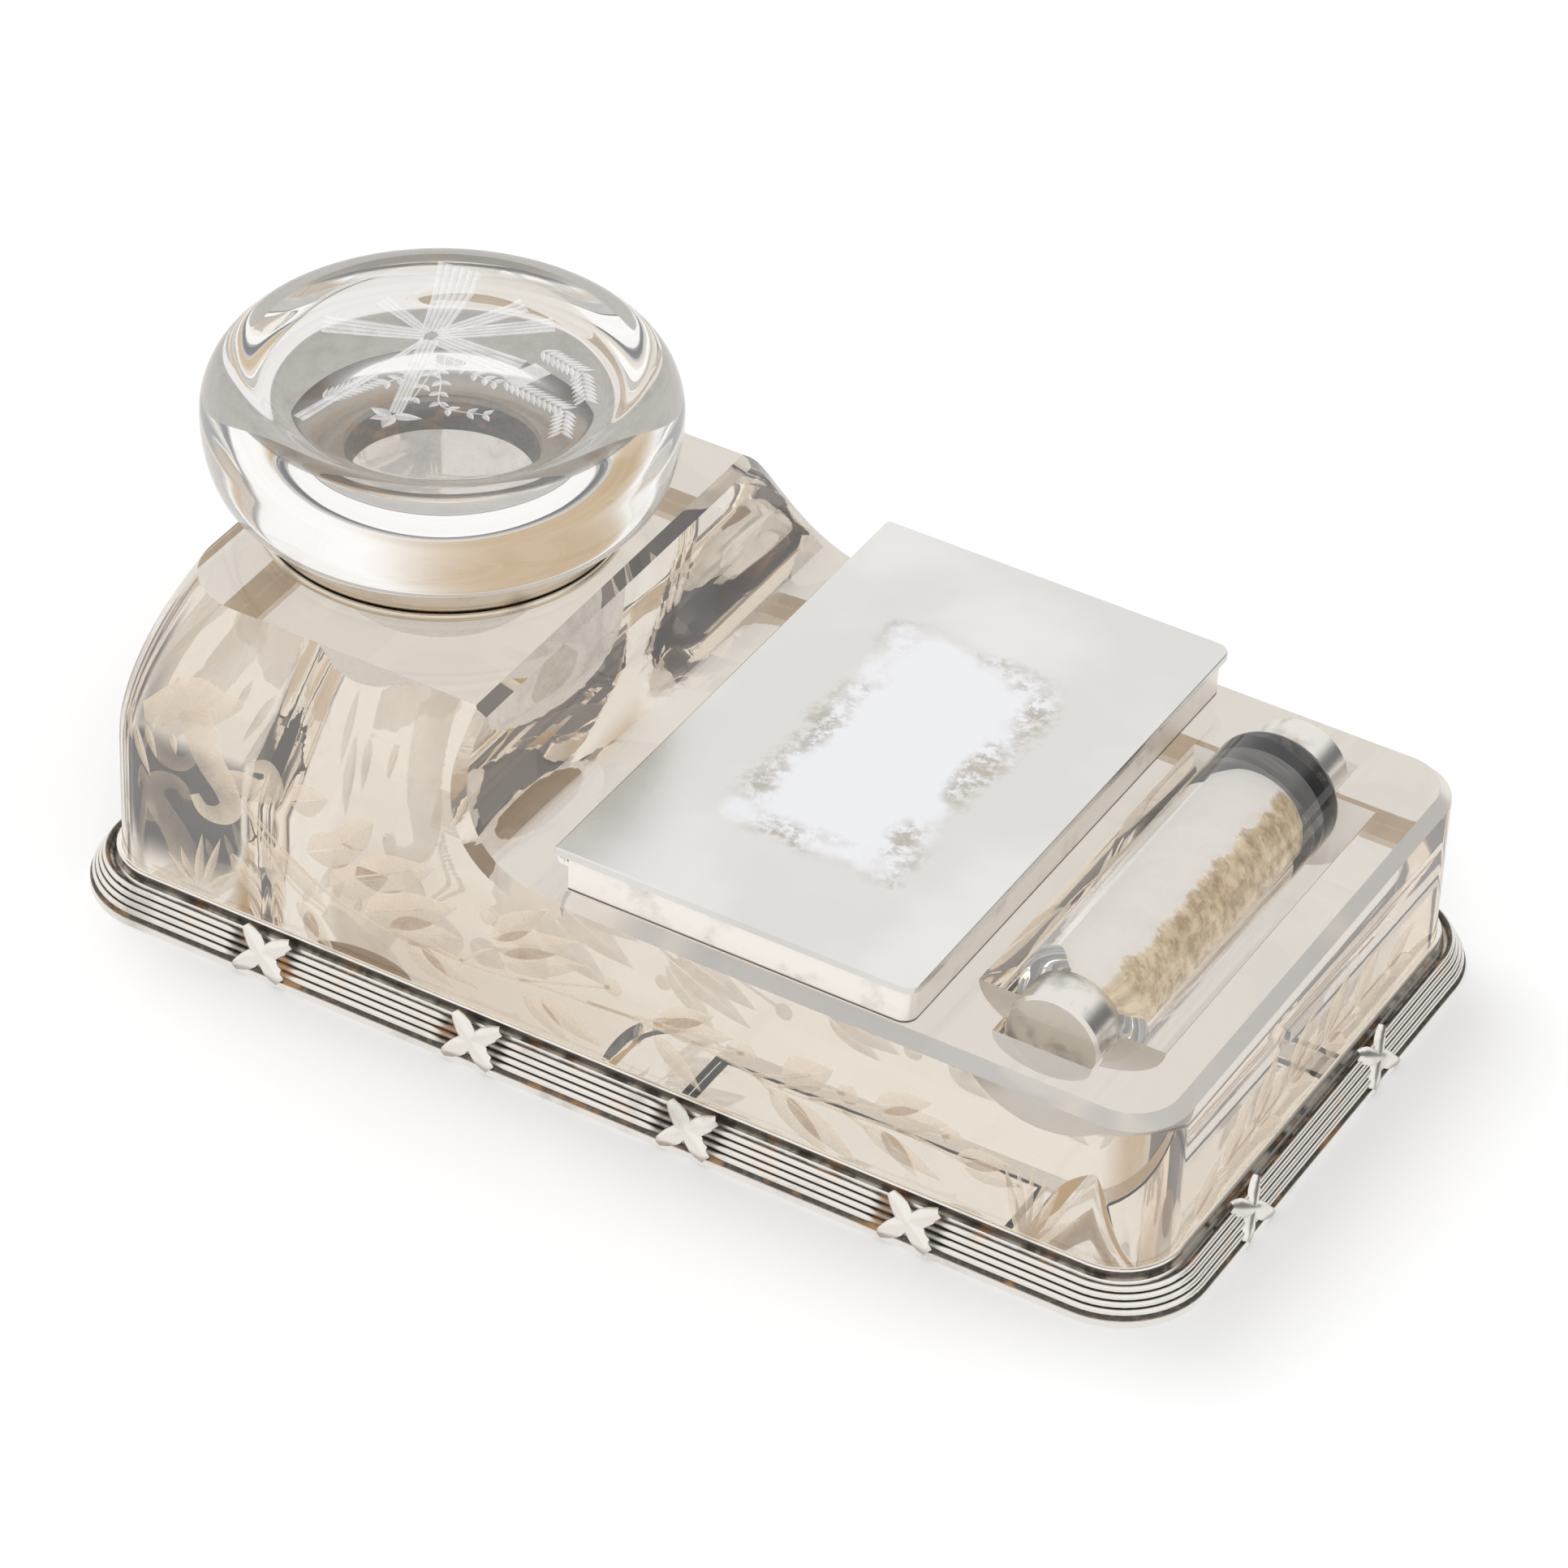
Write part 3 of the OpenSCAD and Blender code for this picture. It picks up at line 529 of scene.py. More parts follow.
STEMS = [
    [(-60.8, 27.6), (-57.7, 24.3), (-54.6, 21.6), (-50.3, 18.8), (-46.5, 16.8), (-42.1, 15.3),
     (-37.8, 14.4), (-32.8, 14.2), (-27.8, 14.4), (-22.9, 14.3), (-17.9, 14.6), (-10.5, 15.6), (-3.2, 16),
     (2.8, 16.4), (8.2, 16.5), (14.2, 16.6), (19.6, 16), (24.4, 15.2), (29.1, 14.8), (33.8, 15.1),
     (39.7, 15.3), (44.4, 15.7), (49, 15.9), (53.1, 15.6), (58.6, 15)],
    [(-60.6, 26.4), (-57, 21.6), (-52.4, 15.4), (-46.6, 12.8)],
    [(-24, 14.2), (-19.6, 18), (-16, 19.6)],
    [(-14.2, 15.2), (-5, 18.4), (0.6, 20.3)],
    [(-3, 16.2), (4.6, 16.9), (10.4, 18.4)],
    [(14, 16.7), (18.8, 17.4), (22.4, 18.3)],
    [(24, 15.3), (28.8, 17), (33, 19.4)],
    [(28, 15.1), (34.2, 17.4), (38.6, 18.5)],
    [(33, 15.2), (40, 17.2), (46, 18.4)],
    [(47, 15.9), (51.6, 17.3), (55, 18.4)],
    [(24.6, 15.2), (27.4, 13.4)],
    [(38.4, 15.4), (42.4, 13.9)]]
BERRIES = [
    (1.2, 20.6, 1.5), (22.8, 18.5, 1.6), (39, 18.6, 1.7), (55.4, 18.6, 1.6), (-19.4, 24, 1.4)]
FRONDS = [
    (-82.3, 34.4, -80.2, 29.6, 1.3), (-79.8, 32.6, -76.6, 24.8, 1.6), (-77.6, 33.2, -75.4, 28.4, 1.3),
    (-73.2, 33.6, -72.2, 30.4, 1.2), (-68.8, 8.6, -67.8, 18.2, 1.4), (-70, 9, -71.6, 14.2, 1.3),
    (-67.6, 8.8, -64.6, 18.6, 1.3), (-69.4, 8.4, -74, 12.4, 1.2), (-66.8, 8.6, -62.2, 13.6, 1.2),
    (-71.6, 7.6, -77.2, 8.6, 1.2)]
# the bow's ribbon: middle line and half width
BOW = [
    [(-78.4, 34.8, 1.3), (-75.6, 36.2, 2.3), (-71.8, 38.8, 2.9), (-68.4, 39.2, 2.9), (-65.4, 40, 1.7),
     (-62.8, 41, 0.4)],
    [(-70.2, 38, 2.8), (-68.6, 35, 2.7), (-66.4, 31.4, 2.5), (-63.8, 28.2, 2.3), (-62.8, 25, 1.9),
     (-64.6, 22.8, 1.6), (-67.4, 22.6, 1.3), (-69, 24.8, 0.9)],
    [(-63.4, 29.4, 1.8), (-60.8, 29.9, 2), (-57.6, 29.9, 1.9), (-55.6, 31.6, 1.7), (-57, 33.9, 1.2),
     (-60, 33, 0.7)]]
# the sprays on the two ends, as above, on the way round from the near side
END_SPRAY = [
    (96, 9, 103, 15, 3.6), (97, 8, 106, 9.6, 3.6), (104, 12, 112, 20, 4.2), (105, 11, 115, 14, 4.2),
    (113, 13, 119, 23, 4.6), (114, 12, 124, 17, 4.6), (114, 11, 122, 7.6, 3.8), (123, 14, 131, 23, 4.6),
    (124, 13, 134, 16, 4.4), (124, 12, 132, 7.8, 3.8), (134, 14, 141, 22, 4.4), (135, 13, 145, 14, 4.4),
    (135, 12, 142, 7.6, 3.6), (144, 14, 151, 20, 4), (145, 12.6, 154, 12, 3.8), (154, 13, 162, 16, 3.6),
    (155, 12, 163, 9, 3.4)]
END_STEM = [
    (86, 6), (94, 8), (104, 11.6), (114, 12.6), (124, 13.2), (135, 13.2), (145, 13), (158, 12.6)]
FAN = [(67.0 + 0.2 * k, 5.2, 67.0 + 9.5 * math.sin(math.radians(12 * k - 20)) + 0.2 * k,
        5.2 + 13.5 * math.cos(math.radians(12 * k - 20)), 1.5) for k in range(7)]


def matt(name, colour, cover, painted_glow=0.3):
    """The grey skin of wheel-cut glass: fine grain, painted light along one edge of each cut and painted
    shade along the other, and a painted glow.
    """
    made, maker, surface, place, xyz = start_material(name)
    across = maker.node("ShaderNodeAttribute", out=2, setting={"attribute_name": "across"})
    grain = maker.noise(place, 0.35, 2.0, 0.6)
    cloud = maker.noise(place, 3.2, 2.0, 0.5)
    # painted shade on one side of each cut and painted light on the other
    dark, painted_lit_tone = (c * 0.86 for c in colour), (min(1, c * 1.12) for c in colour)
    feed((across * 0.5 + 0.5).least(1.0).blend((*dark, 1), (*painted_lit_tone, 1)), surface, "Base Color")
    opaque = cover + (cloud - 0.5) * 0.5 + (grain - 0.5) * 0.3 + across * 0.08
    feed(opaque.least(0.97).most(0.15), surface, "Alpha")
    feed(0.55 + grain * 0.3, surface, "Roughness")
    # a painted glow, so the skin shows bright when seen from inside the glass too
    feed((*colour, 1), surface, "Emission Color")
    feed(painted_glow, surface, "Emission Strength")
    feed(0.3, surface, "Specular IOR Level")
    return made


def skin(s, z):
    """A point just off the block's side: s mm along the near side, round both corners, z mm up."""
    def at(s, z):
        if s > 0:
            out, l, w, radius = 1, HALF_L, HALF_W, GLASS_R
        else:
            out, l, w, radius = -1, HALF_L - end_in(z), HALF_W - side_in(z), corner_round(z)
        turn = max(0.0, out * s - l + radius) / radius
        if turn <= 0:
            return Vector((s, -w, z))
        bend = min(turn, math.pi / 2)
        return Vector((out * (l - radius + radius * math.sin(bend)),
                       -w + radius - radius * math.cos(bend) + (turn - bend) * radius, z))
    here = at(s, z)
    along, rise = at(s + 0.05, z) - here, at(s, z + 0.05) - here
    return here + along.cross(rise).normalized() * CUT_DEPTH


def far_skin(s, z):
    p = skin(s, z)
    return Vector((p.x, -p.y, p.z))


def with_across(made, values):
    """Keep where each point lies across its cut, from -1 to 1, for the material to read."""
    across = made.data.attributes.new("across", "FLOAT", "POINT")
    for point, value in zip(across.data, values):
        point.value = value
    return made


def leaf_pattern(finish):
    """A leaf from (0, 0) to (1, 0), one wide, in two halves either side of its midrib."""
    points, faces, sides = [], [], []
    for side in (-1, 1):
        half = strip_faces(len(points), 12, 2)
        faces += half if side > 0 else [face[::-1] for face in half]
        for i in range(13):
            t = i / 12
            full = math.sin(math.pi * t ** 0.8) ** 0.9 * (1 - 0.25 * t) * 0.58
            for far in (0.0, 0.5, 1.0):
                points.append((t, side * (MIDRIB * (1 - t) * 0.5 + full * far), 0))
                sides.append(side * (0.3 + 0.7 * far))
    return with_across(build_mesh("leaf_pattern", points, faces, [finish], None), sides)


def leaves(name, rows, finish, wrap, body="base"):
    """Leaves from row to row of (x, y, to x, to y, width), laid on a surface by wrap."""
    places = [(a, b, 0) for a, b, c, d, w in rows]
    turns = [math.atan2(d - b, c - a) for a, b, c, d, w in rows]
    sizes = [(math.hypot(c - a, d - b), w, 1) for a, b, c, d, w in rows]
    made = set_copies(name, leaf_pattern(finish), places, turns, sizes)
    for v in made.data.vertices:
        v.co = Vector(wrap(v.co.x * 1000, v.co.y * 1000)) / 1000
    made.data.update()
    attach(made, body)
    return made


def smooth_line(knots, steps=6):
    """Points on a smooth line through knots of any number of values."""
    line = []
    for i in range(len(knots) - 1):
        a, b, c, d = (knots[max(0, min(len(knots) - 1, i + k))] for k in (-1, 0, 1, 2))
        for j in range(steps):
            t = j / steps
            line.append(tuple(0.5 * (2 * q + (r - p) * t + (2 * p - 5 * q + 4 * r - e) * t * t
                                     + (3 * q - p - 3 * r + e) * t ** 3) for p, q, r, e in zip(a, b, c, d)))
    return line + [tuple(knots[-1])]


def stem(knots, half):
    """A smooth line of one half width through knots of x, y."""
    return smooth_line([(a, b, half) for a, b in knots])


def ribbons(name, lines, finish, wrap, body="base"):
    """Matt strips along lines of (x, y, half width), laid on a surface by wrap."""
    points, faces, sides = [], [], []
    for line in lines:
        faces += strip_faces(len(points), len(line) - 1, 4)
        for i, (x, y, half) in enumerate(line):
            a, b = line[max(0, i - 1)], line[min(len(line) - 1, i + 1)]
            dx, dy = b[0] - a[0], b[1] - a[1]
            size = math.hypot(dx, dy) or 1.0
            for k in (-1, -0.5, 0, 0.5, 1):
                points.append(tuple(wrap(x - dy / size * half * k, y + dx / size * half * k)))
                sides.append(k)
    return with_across(build_mesh(name, points, faces, [finish], body), sides)


def berry(x, y, radius):
    """A disc, as a line that widens and narrows again."""
    return [(x + radius * t, y, radius * math.sqrt(max(0.02, 1 - t ** 2)))
            for t in [k / 6 - 1 for k in range(13)]]


def turned(name, profile, centre, materials, body, count=128):
    """A turned piece about an upright axis at x = centre: profile is (radius, height), in mm."""
    points, faces, rings = [], [], []
    for rad, z in profile:
        if rad < 1e-6:
            rings.append([len(points)])
            points.append((centre, 0, z))
        else:
            rings.append(list(range(len(points), len(points) + count)))
            points += [(centre + rad * math.cos(2 * math.pi * k / count),
                        rad * math.sin(2 * math.pi * k / count), z) for k in range(count)]
    for low, high in zip(rings, rings[1:]):
        for k in range(count):
            n = (k + 1) % count
            if len(low) == 1:
                faces.append((low[0], high[n], high[k]))
            elif len(high) == 1:
                faces.append((low[k], low[n], high[0]))
            else:
                faces.append((low[k], low[n], high[n], high[k]))
    made = build_mesh(name, points, faces, materials, body, smooth=True)
    made.data.set_sharp_from_angle(angle=math.radians(35))
    return made


# the well's bore is ground matt and was never polished, so it shows pale through the sides, helped
# by the painted glow of its matt skin; the skin lies inside the glass, up to the collar, and its floor
# is stained by ink
BORE_SKIN, BORE_TOP = 0.06, 43.6
bore_side = [(0.02, WELL_FLOOR - BORE_SKIN)]
bore_side += arc(WELL_R - WELL_ROUND, WELL_FLOOR + WELL_ROUND, WELL_ROUND + BORE_SKIN, -math.pi / 2, 0, 14)
bore_side.append((WELL_R + BORE_SKIN, BORE_TOP))
matt_bore = matt("matt_bore", (0.84, 0.81, 0.77), 0.62)
ink_stain = matt("ink_stain", (0.3, 0.2, 0.1), 0.85)
bore = turned("ground_bore", bore_side, WELL_X, [matt_bore, ink_stain], "base", count=96)
bore.data.flip_normals()
for face in bore.data.polygons:
    face.material_index = 1 if face.center.z * 1000 < WELL_FLOOR + 0.6 else 0

matt_side = matt("matt_cut", (0.54, 0.46, 0.37), 0.68)
# the far side's cuts are a paler, more see-through copy of the same matt: painted light for cuts seen from
# inside the glass
matt_back_painted_light = matt("matt_cut_back", (0.62, 0.56, 0.48), 0.42)
for side, wrap, finish in (("near", skin, matt_side), ("far", far_skin, matt_back_painted_light)):
    cuts = [leaves("leaves_" + side, SPRAY + FRONDS + FAN, finish, wrap),
            ribbons("stems_" + side, [stem(line, STEM_HALF) for line in STEMS], finish, wrap),
            ribbons("bow_" + side, [smooth_line(line) for line in BOW], finish, wrap),
            ribbons("berries_" + side, [berry(*row) for row in BERRIES], finish, wrap)]
    if side == "far":
        for cut in cuts:
            cut.data.flip_normals()
leaves("leaves_right", END_SPRAY, matt_side, skin)
ribbons("stem_right", [stem(END_STEM, STEM_HALF)], matt_side, skin)
leaves("leaves_left", [(-a, b, -c, d, w) for a, b, c, d, w in END_SPRAY], matt_side, skin)
ribbons("stem_left", [stem([(-a, b) for a, b in END_STEM], STEM_HALF)], matt_side, skin)

# ------------------------------------------------------------ silver fittings
# Collar, knuckles, pins, lid mount, stamp box and roller caps are sheet and drawn silver,
# polished, with tarnish in the corners; the stamp box's walls have painted shade under the cover.
# They keep their CAD shape.

MOUNT_Z, MOUNT_H, MOUNT_TOP_R = 51.8, 5.4, 30.0  # the lid's mount: its foot, height, upper edge
MOUNT_FLARE = 0.5926  # mm that it widens for each mm of height


def from_well(xyz):
    """How far a point lies from the well's axis, in mm."""
    return ((xyz[0] - WELL_X) ** 2.0 + xyz[1] ** 2.0) ** 0.5


def collar_dirt(maker, xyz):
    return xyz[2].rise(TOP + 0.7, TOP)


def well_dirt(maker, xyz):
    """In the corner with the glass, and brown inside the bead."""
    return collar_dirt(maker, xyz).most(from_well(xyz).rise(26.0, 25.0) * 0.6)


def mount_dirt(maker, xyz):
    """Along both edges of the mount and on its inner side."""
    z, flared = xyz[2], from_well(xyz) - xyz[2] * MOUNT_FLARE
    edges = z.rise(MOUNT_Z + 0.5, MOUNT_Z).most(z.rise(MOUNT_Z + 4.9, MOUNT_Z + 5.3))
    return edges.most(flared.rise(-4.3, -4.6) * 0.8)


def box_dirt_and_shade(maker, xyz):
    """Darker in the corner with the deck, and painted shade in a band under the cover."""
    return xyz[2].rise(DECK + 0.5, DECK + 0.1).most(xyz[2].rise(38.0, 38.4))


finish_nodes(silver("silver_collar", collar_dirt, wear=0.3),
             "collar_knuckles", "lid_knuckle", "lid_hinge_pin")
finish_nodes(silver("silver_well", well_dirt, wear=0.5, tone=(0.74, 0.66, 0.55, 1)), "well_collar")
finish_nodes(silver("silver_mount", mount_dirt, wear=0.5, tone=(0.74, 0.67, 0.57, 1)), "lid_mount")
# the box's walls carry painted shade in a band under the cover
finish_nodes(silver("silver_box", box_dirt_and_shade, wear=0.35, gloss=0.3, tone=(0.95, 0.9, 0.84, 1), metal=0.55),
             "stamp_walls", "box_knuckles", "cover_hinge_knuckles", "cover_hinge_pin")
finish_nodes(silver("silver_box_inside", wear=0.22, gloss=0.28, tone=(0.86, 0.81, 0.73, 1)),
             "stamp_floor", "stamp_dividers")
finish_nodes(silver("silver_cap", wear=0.5, gloss=0.2, bump=0.3, tone=(0.8, 0.77, 0.72, 1)),
             "roller_cap_front", "roller_cap_back")

# ------------------------------------------------------------------- ink lid
# A heavy turned glass lid, cemented into its mount: it swells to a rounded rim and is dished
# on top, where ribbons, wheat and small flowers are cut by the wheel.

LID_R, LID_H, RIM_R, RIM_H = 34.7, 18.0, 5.2, 7.0
DISH_SLOPE, DISH_DEPTH, DISH_SAG = 7.0, 3.2, 0.7
seat_z = MOUNT_Z + MOUNT_H
neck_r, waist_r = MOUNT_TOP_R - 1.36, MOUNT_TOP_R + 0.3
crown_r, crown_z = LID_R - RIM_R, seat_z + LID_H - RIM_H
dish_r, dish_z = crown_r - DISH_SLOPE, crown_z + RIM_H - DISH_DEPTH


def lid_top(out):
    """The height of the dished top at that distance from the lid's axis."""
    if out < dish_r:
        return dish_z - DISH_SAG * (1 - (out / dish_r) ** 2)
    t = min(1.0, (crown_r - out) / DISH_SLOPE)
    return crown_z + RIM_H - DISH_DEPTH * (1 - math.cos(math.pi * t)) / 2


def quarter(count):
    return [math.pi / 2 * k / count for k in range(1, count + 1)]


lid_side = [(0, MOUNT_Z + 2.9), (12, MOUNT_Z + 2.5), (20, MOUNT_Z + 1.5), (22.6, MOUNT_Z + 0.9),
            (25.8, MOUNT_Z + 0.9), (neck_r, seat_z), (waist_r, seat_z + 0.08)]
lid_side += [(waist_r + (LID_R - waist_r) * math.sin(a), crown_z - (crown_z - seat_z) * math.cos(a))
             for a in quarter(24)]
lid_side += [(crown_r + RIM_R * math.cos(a), crown_z + RIM_H * math.sin(a)) for a in quarter(20)]
lid_side += [(rad, lid_top(rad)) for rad in [crown_r - DISH_SLOPE * k / 20 for k in range(1, 21)]
             + [dish_r * (1 - t) for t in (0.15, 0.35, 0.6, 0.85, 1)]]
lid_clear = glass("glass_clear", ((0.9, 0.88, 0.84, 1), 2.0), ((0.98, 0.99, 1, 1), 2.4))
lid = turned("ink_lid_glass", lid_side, WELL_X, [lid_clear], "ink_lid")
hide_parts("lid_glass")

# plaster holds the glass in its mount and shows through it as a pale band, with a painted glow
bed = [(23.0, MOUNT_Z + 0.95), (25.74, MOUNT_Z + 0.95),
       (neck_r - 0.05, seat_z), (waist_r - 0.1, seat_z + 0.14)]
turned("lid_plaster", bed, WELL_X, [matt("plaster", (0.52, 0.5, 0.47), 0.9)], "ink_lid", count=96)

# the cutting, from the lid's middle: each band of ribbon runs from the knot to a point, with its
# half width at both ends and its count of lines
KNOT = (-8.7, 10.4)
BANDS = [
    ((-22.9, 3.8), 1.2, 2.2, 4), ((-12.7, -18), 0.4, 1, 2), ((-2.4, -8.8), 1.5, 1, 4),
    ((6.3, 9.8), 1.6, 2.7, 5), ((5, 21.8), 1.2, 1.7, 4), ((-12.4, 24), 1.6, 3.4, 6),
    ((-19, 13.6), 0.7, 1.4, 3), ((-1, 23.4), 0.8, 1.6, 3)]
FOLD = [(6.6, 9.9, 2.9), (9.9, 8.6, 3.1)]
WHEAT = [
    (6.4, 6.6, 17.6, 4.6), (7, 15.6, 14.6, 13.8), (-12.6, -11.6, -9, -2.8), (14.6, 13.8, 19, 8),
    (17.6, 4.6, 20.4, -1)]
TWIGS = [
    [(-6.5, 6.8), (-3.8, 2.6), (-2.2, -5.1)],
    [(-5.4, 6.2), (-1.4, 1.6), (2.1, -3.6), (8.3, -2.2)],
    [(-4, 7), (1.6, 5.8), (5.6, 5.4)],
    [(-7.2, 6.4), (-6.2, 1.2), (-7.8, -3.4)]]
FLOWER = [(-2.6, -9.6, -5.9, -9.6, 1.8), (-2.4, -9.6, 1.6, -7.8, 1.8), (-2.4, -9.4, -1.8, -13, 1.9),
          (-2.4, -9.4, -4.6, -12, 1.7)]


def dish(x, y):
    """A point just above the dish of the lid, x and y from its middle."""
    return Vector((WELL_X + x, y, lid_top(math.hypot(x, y)) + 0.05))


def pair(x, y, turn, lean, length, width):
    """Two leaves from one point, leaning to both sides of a direction."""
    return [(x, y, x + length * math.cos(turn + side), y + length * math.sin(turn + side), width)
            for side in (-lean, lean)]


matt_lid = matt("matt_lid", (0.64, 0.64, 0.64), 0.55)
band_lines = []
for (ex, ey), half_first, half_last, count in BANDS:
    dx, dy = ex - KNOT[0], ey - KNOT[1]
    size = math.hypot(dx, dy)
    for k in range(count):
        part = (k + 0.5) / count * 2 - 1
        line = []
        for t in [0.06 + 0.94 * j / 16 for j in range(17)]:
            half = half_first + (half_last - half_first) * t
            aside = half * part
            line.append((KNOT[0] + dx * t - dy / size * aside, KNOT[1] + dy * t + dx / size * aside,
                         half / count * 0.9))
        band_lines.append(line)
ribbons("lid_bands", band_lines + [smooth_line(FOLD)], matt_lid, dish, "ink_lid")
ribbons("lid_twigs", [stem(line, 0.13) for line in TWIGS], matt_lid, dish, "ink_lid")
small_leaves = []
for line in TWIGS:
    knots = smooth_line(line, 5)
    for k in range(3, len(knots), 2):
        (a, b), (c, d) = knots[k - 1], knots[k]
        small_leaves += pair(c, d, math.atan2(d - b, c - a), 0.9, 1.9, 0.95)
for ax, ay, bx, by in WHEAT:
    count = int(math.hypot(bx - ax, by - ay) / 0.95)
    for k in range(count):
        small_leaves += pair(ax + (bx - ax) * k / count, ay + (by - ay) * k / count,
                             math.atan2(by - ay, bx - ax), 0.75, 2.7, 0.7)
leaves("lid_wheat", small_leaves + FLOWER, matt_lid, dish, "ink_lid")

# --------------------------------------------------------------- stamp cover
# A flat plate of silver, polished and handled: nearly a mirror, clouded near the edges, with
# a paler rubbed patch in the middle.

COVER_X0, COVER_X1, COVER_HALF_W = -9.8, 47.6, 46.35
COVER_LOW, COVER_HIGH = 38.5, 39.8
COVER_ROUND, HINGE_ROUND, COVER_SOFT = 2.2, 0.5, 0.35  # corners, those by the hinge, top edge
PATCH_X, PATCH_Y, PATCH_HALF_X, PATCH_HALF_Y = 19.0, -1.5, 13.0, 25.0


def cover_ring(z, inset):
    x0, x1, w, out = COVER_X0 + inset, COVER_X1 - inset, COVER_HALF_W - inset, COVER_ROUND - inset
    hinge = HINGE_ROUND
    points = arc(x1 - out, -w + out, out, -math.pi / 2, 0, 8)
    points += arc(x1 - out, w - out, out, 0, math.pi / 2, 8)
    points += arc(x0 + hinge, w - hinge, hinge, math.pi / 2, math.pi, 4)
    points += arc(x0 + hinge, -w + hinge, hinge, math.pi, math.pi * 1.5, 4)
    return [(x, y, z) for x, y in points]


def cover_finish():
    """Polished silver, cloudy in places, with a rectangle in the middle rubbed bare and whiter."""
    made, maker, surface, place, (x, y, z) = start_material("silver_cover")
    wander = (maker.noise(place, 7.0, 4.0, 0.6) - 0.5) * 9.0
    across, along = abs(x - PATCH_X) + wander, abs(y - PATCH_Y) + wander * 0.8
    inside = (across - PATCH_HALF_X).most(along - PATCH_HALF_Y)
    above = z.rise(COVER_HIGH - 0.8, COVER_HIGH - 0.4)
    rubbed = inside.rise(1.5, -1.5) * above
    rim = inside.rise(-4.5, -0.8) * inside.rise(3.4, 0.6) * above
    mottle = maker.noise(place, 2.2, 4.0, 0.75).rise(0.4, 0.58)
    stain = rim * mottle * maker.noise(place, 14.0, 2.0, 0.5).rise(0.38, 0.6)
    specks = maker.noise(place, 1.1, 3.0, 0.8).rise(0.68, 0.82)
    specks = specks * maker.noise(place, 16.0, 2.0, 0.5).rise(0.45, 0.7)
    cloud = maker.noise(place, 26.0, 3.0, 0.5).rise(0.35, 0.7)
    tone = cloud.blend((0.74, 0.725, 0.695, 1), (0.82, 0.81, 0.79, 1))
    tone = rubbed.blend(tone, (0.87, 0.875, 0.895, 1))
    tone = (specks * 0.4).blend(tone, (0.45, 0.41, 0.36, 1))
    feed((stain * 0.6).blend(tone, (0.44, 0.38, 0.30, 1)), surface, "Base Color")
    feed(0.2 + cloud * 0.06 + stain * 0.3 + rubbed * 0.1, surface, "Roughness")
    waves = maker.noise(place, 30.0, 1.0, 0.4) * 6.0 + maker.noise(place, 0.5, 3.0, 0.7) + stain * 1.5
    feed(maker.node("ShaderNodeBump", Height=waves, Strength=0.12, Distance=0.05 * MM), surface, "Normal")
    feed(1.0, surface, "Metallic")
    return made


soft_edge = [(COVER_SOFT * (1 - math.sin(a)), COVER_SOFT * (1 - math.cos(a))) for a in [0.0] + quarter(5)]
cover = solid("stamp_cover_plate", [cover_ring(COVER_LOW, 0.25), cover_ring(COVER_LOW + 0.15, 0)]
              + [cover_ring(COVER_HIGH - drop, inset) for drop, inset in soft_edge])
cover.data.materials.append(cover_finish())
even_shading(cover, 50)
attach(cover, "stamp_lid")
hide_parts("stamp_cover")

# -------------------------------------------------------------------- roller
# A clear glass roller with rounded ends, drilled through and plugged by its two caps. The bore
# is matt and painted with light: white cloud on one side for a painted reflection, the trough's amber
# on the other for a painted refraction, and a painted glow. Black pitch seals the far end.

ROLL_HALF, ROLL_R, ROLL_ROUND, BORE_R = 30.5, 10.0, 2.4, 4.4
BORE_FROM, BORE_LONG, SEAL_LONG = 3.4, 48.6, 6.2  # from the near end; from the far end


def laid_down(made):
    """Lay a piece turned about Z along the roller's own axis."""
    to_axis = Matrix.Translation((ROLLER_X / 1000, 0, ROLLER_Z / 1000))
    made.data.transform(to_axis @ Matrix.Rotation(-math.pi / 2, 4, "X"))
    made.data.update()
    return made


def bore_painted_light():
    """Painted light on the bore: white cloud on one side for a reflection, ragged amber from the trough on
    the other, and a glow.
    """
    made, maker, surface, place, (x, y, z) = start_material("bore_painted_light")
    # a fixed direction across the bore sets the sides: painted white towards the upper left, painted amber
    # towards the lower right
    aside = ((x - ROLLER_X) * 0.85 - (z - ROLLER_Z) * 0.53) / BORE_R
    ragged = maker.noise(place, 5.0, 4.0, 0.6) * 1.1 + maker.noise(place, 1.3, 2.0, 0.6) * 0.35
    painted_amber = (aside + ragged - 0.72).rise(0.0, 0.16)
    streak = maker.noise(place, 2.2, 3.0, 0.7)
    stain = streak.rise(0.35, 0.65).blend((0.36, 0.25, 0.13, 1), (0.78, 0.66, 0.46, 1))
    painted_white = maker.noise(place, 9.0, 2.0, 0.5).blend((0.70, 0.68, 0.66, 1), (0.84, 0.82, 0.8, 1))
    tone = painted_amber.blend(painted_white, stain)
    feed(tone, surface, "Base Color")
    feed(tone, surface, "Emission Color")
    feed(0.35, surface, "Emission Strength")
    feed(0.93 - painted_amber * 0.25 - streak * 0.1, surface, "Alpha")
    feed(0.6 - painted_amber * 0.35, surface, "Roughness")
    feed(maker.node("ShaderNodeBump", Height=streak, Strength=0.5, Distance=0.3 * MM), surface, "Normal")
    return made


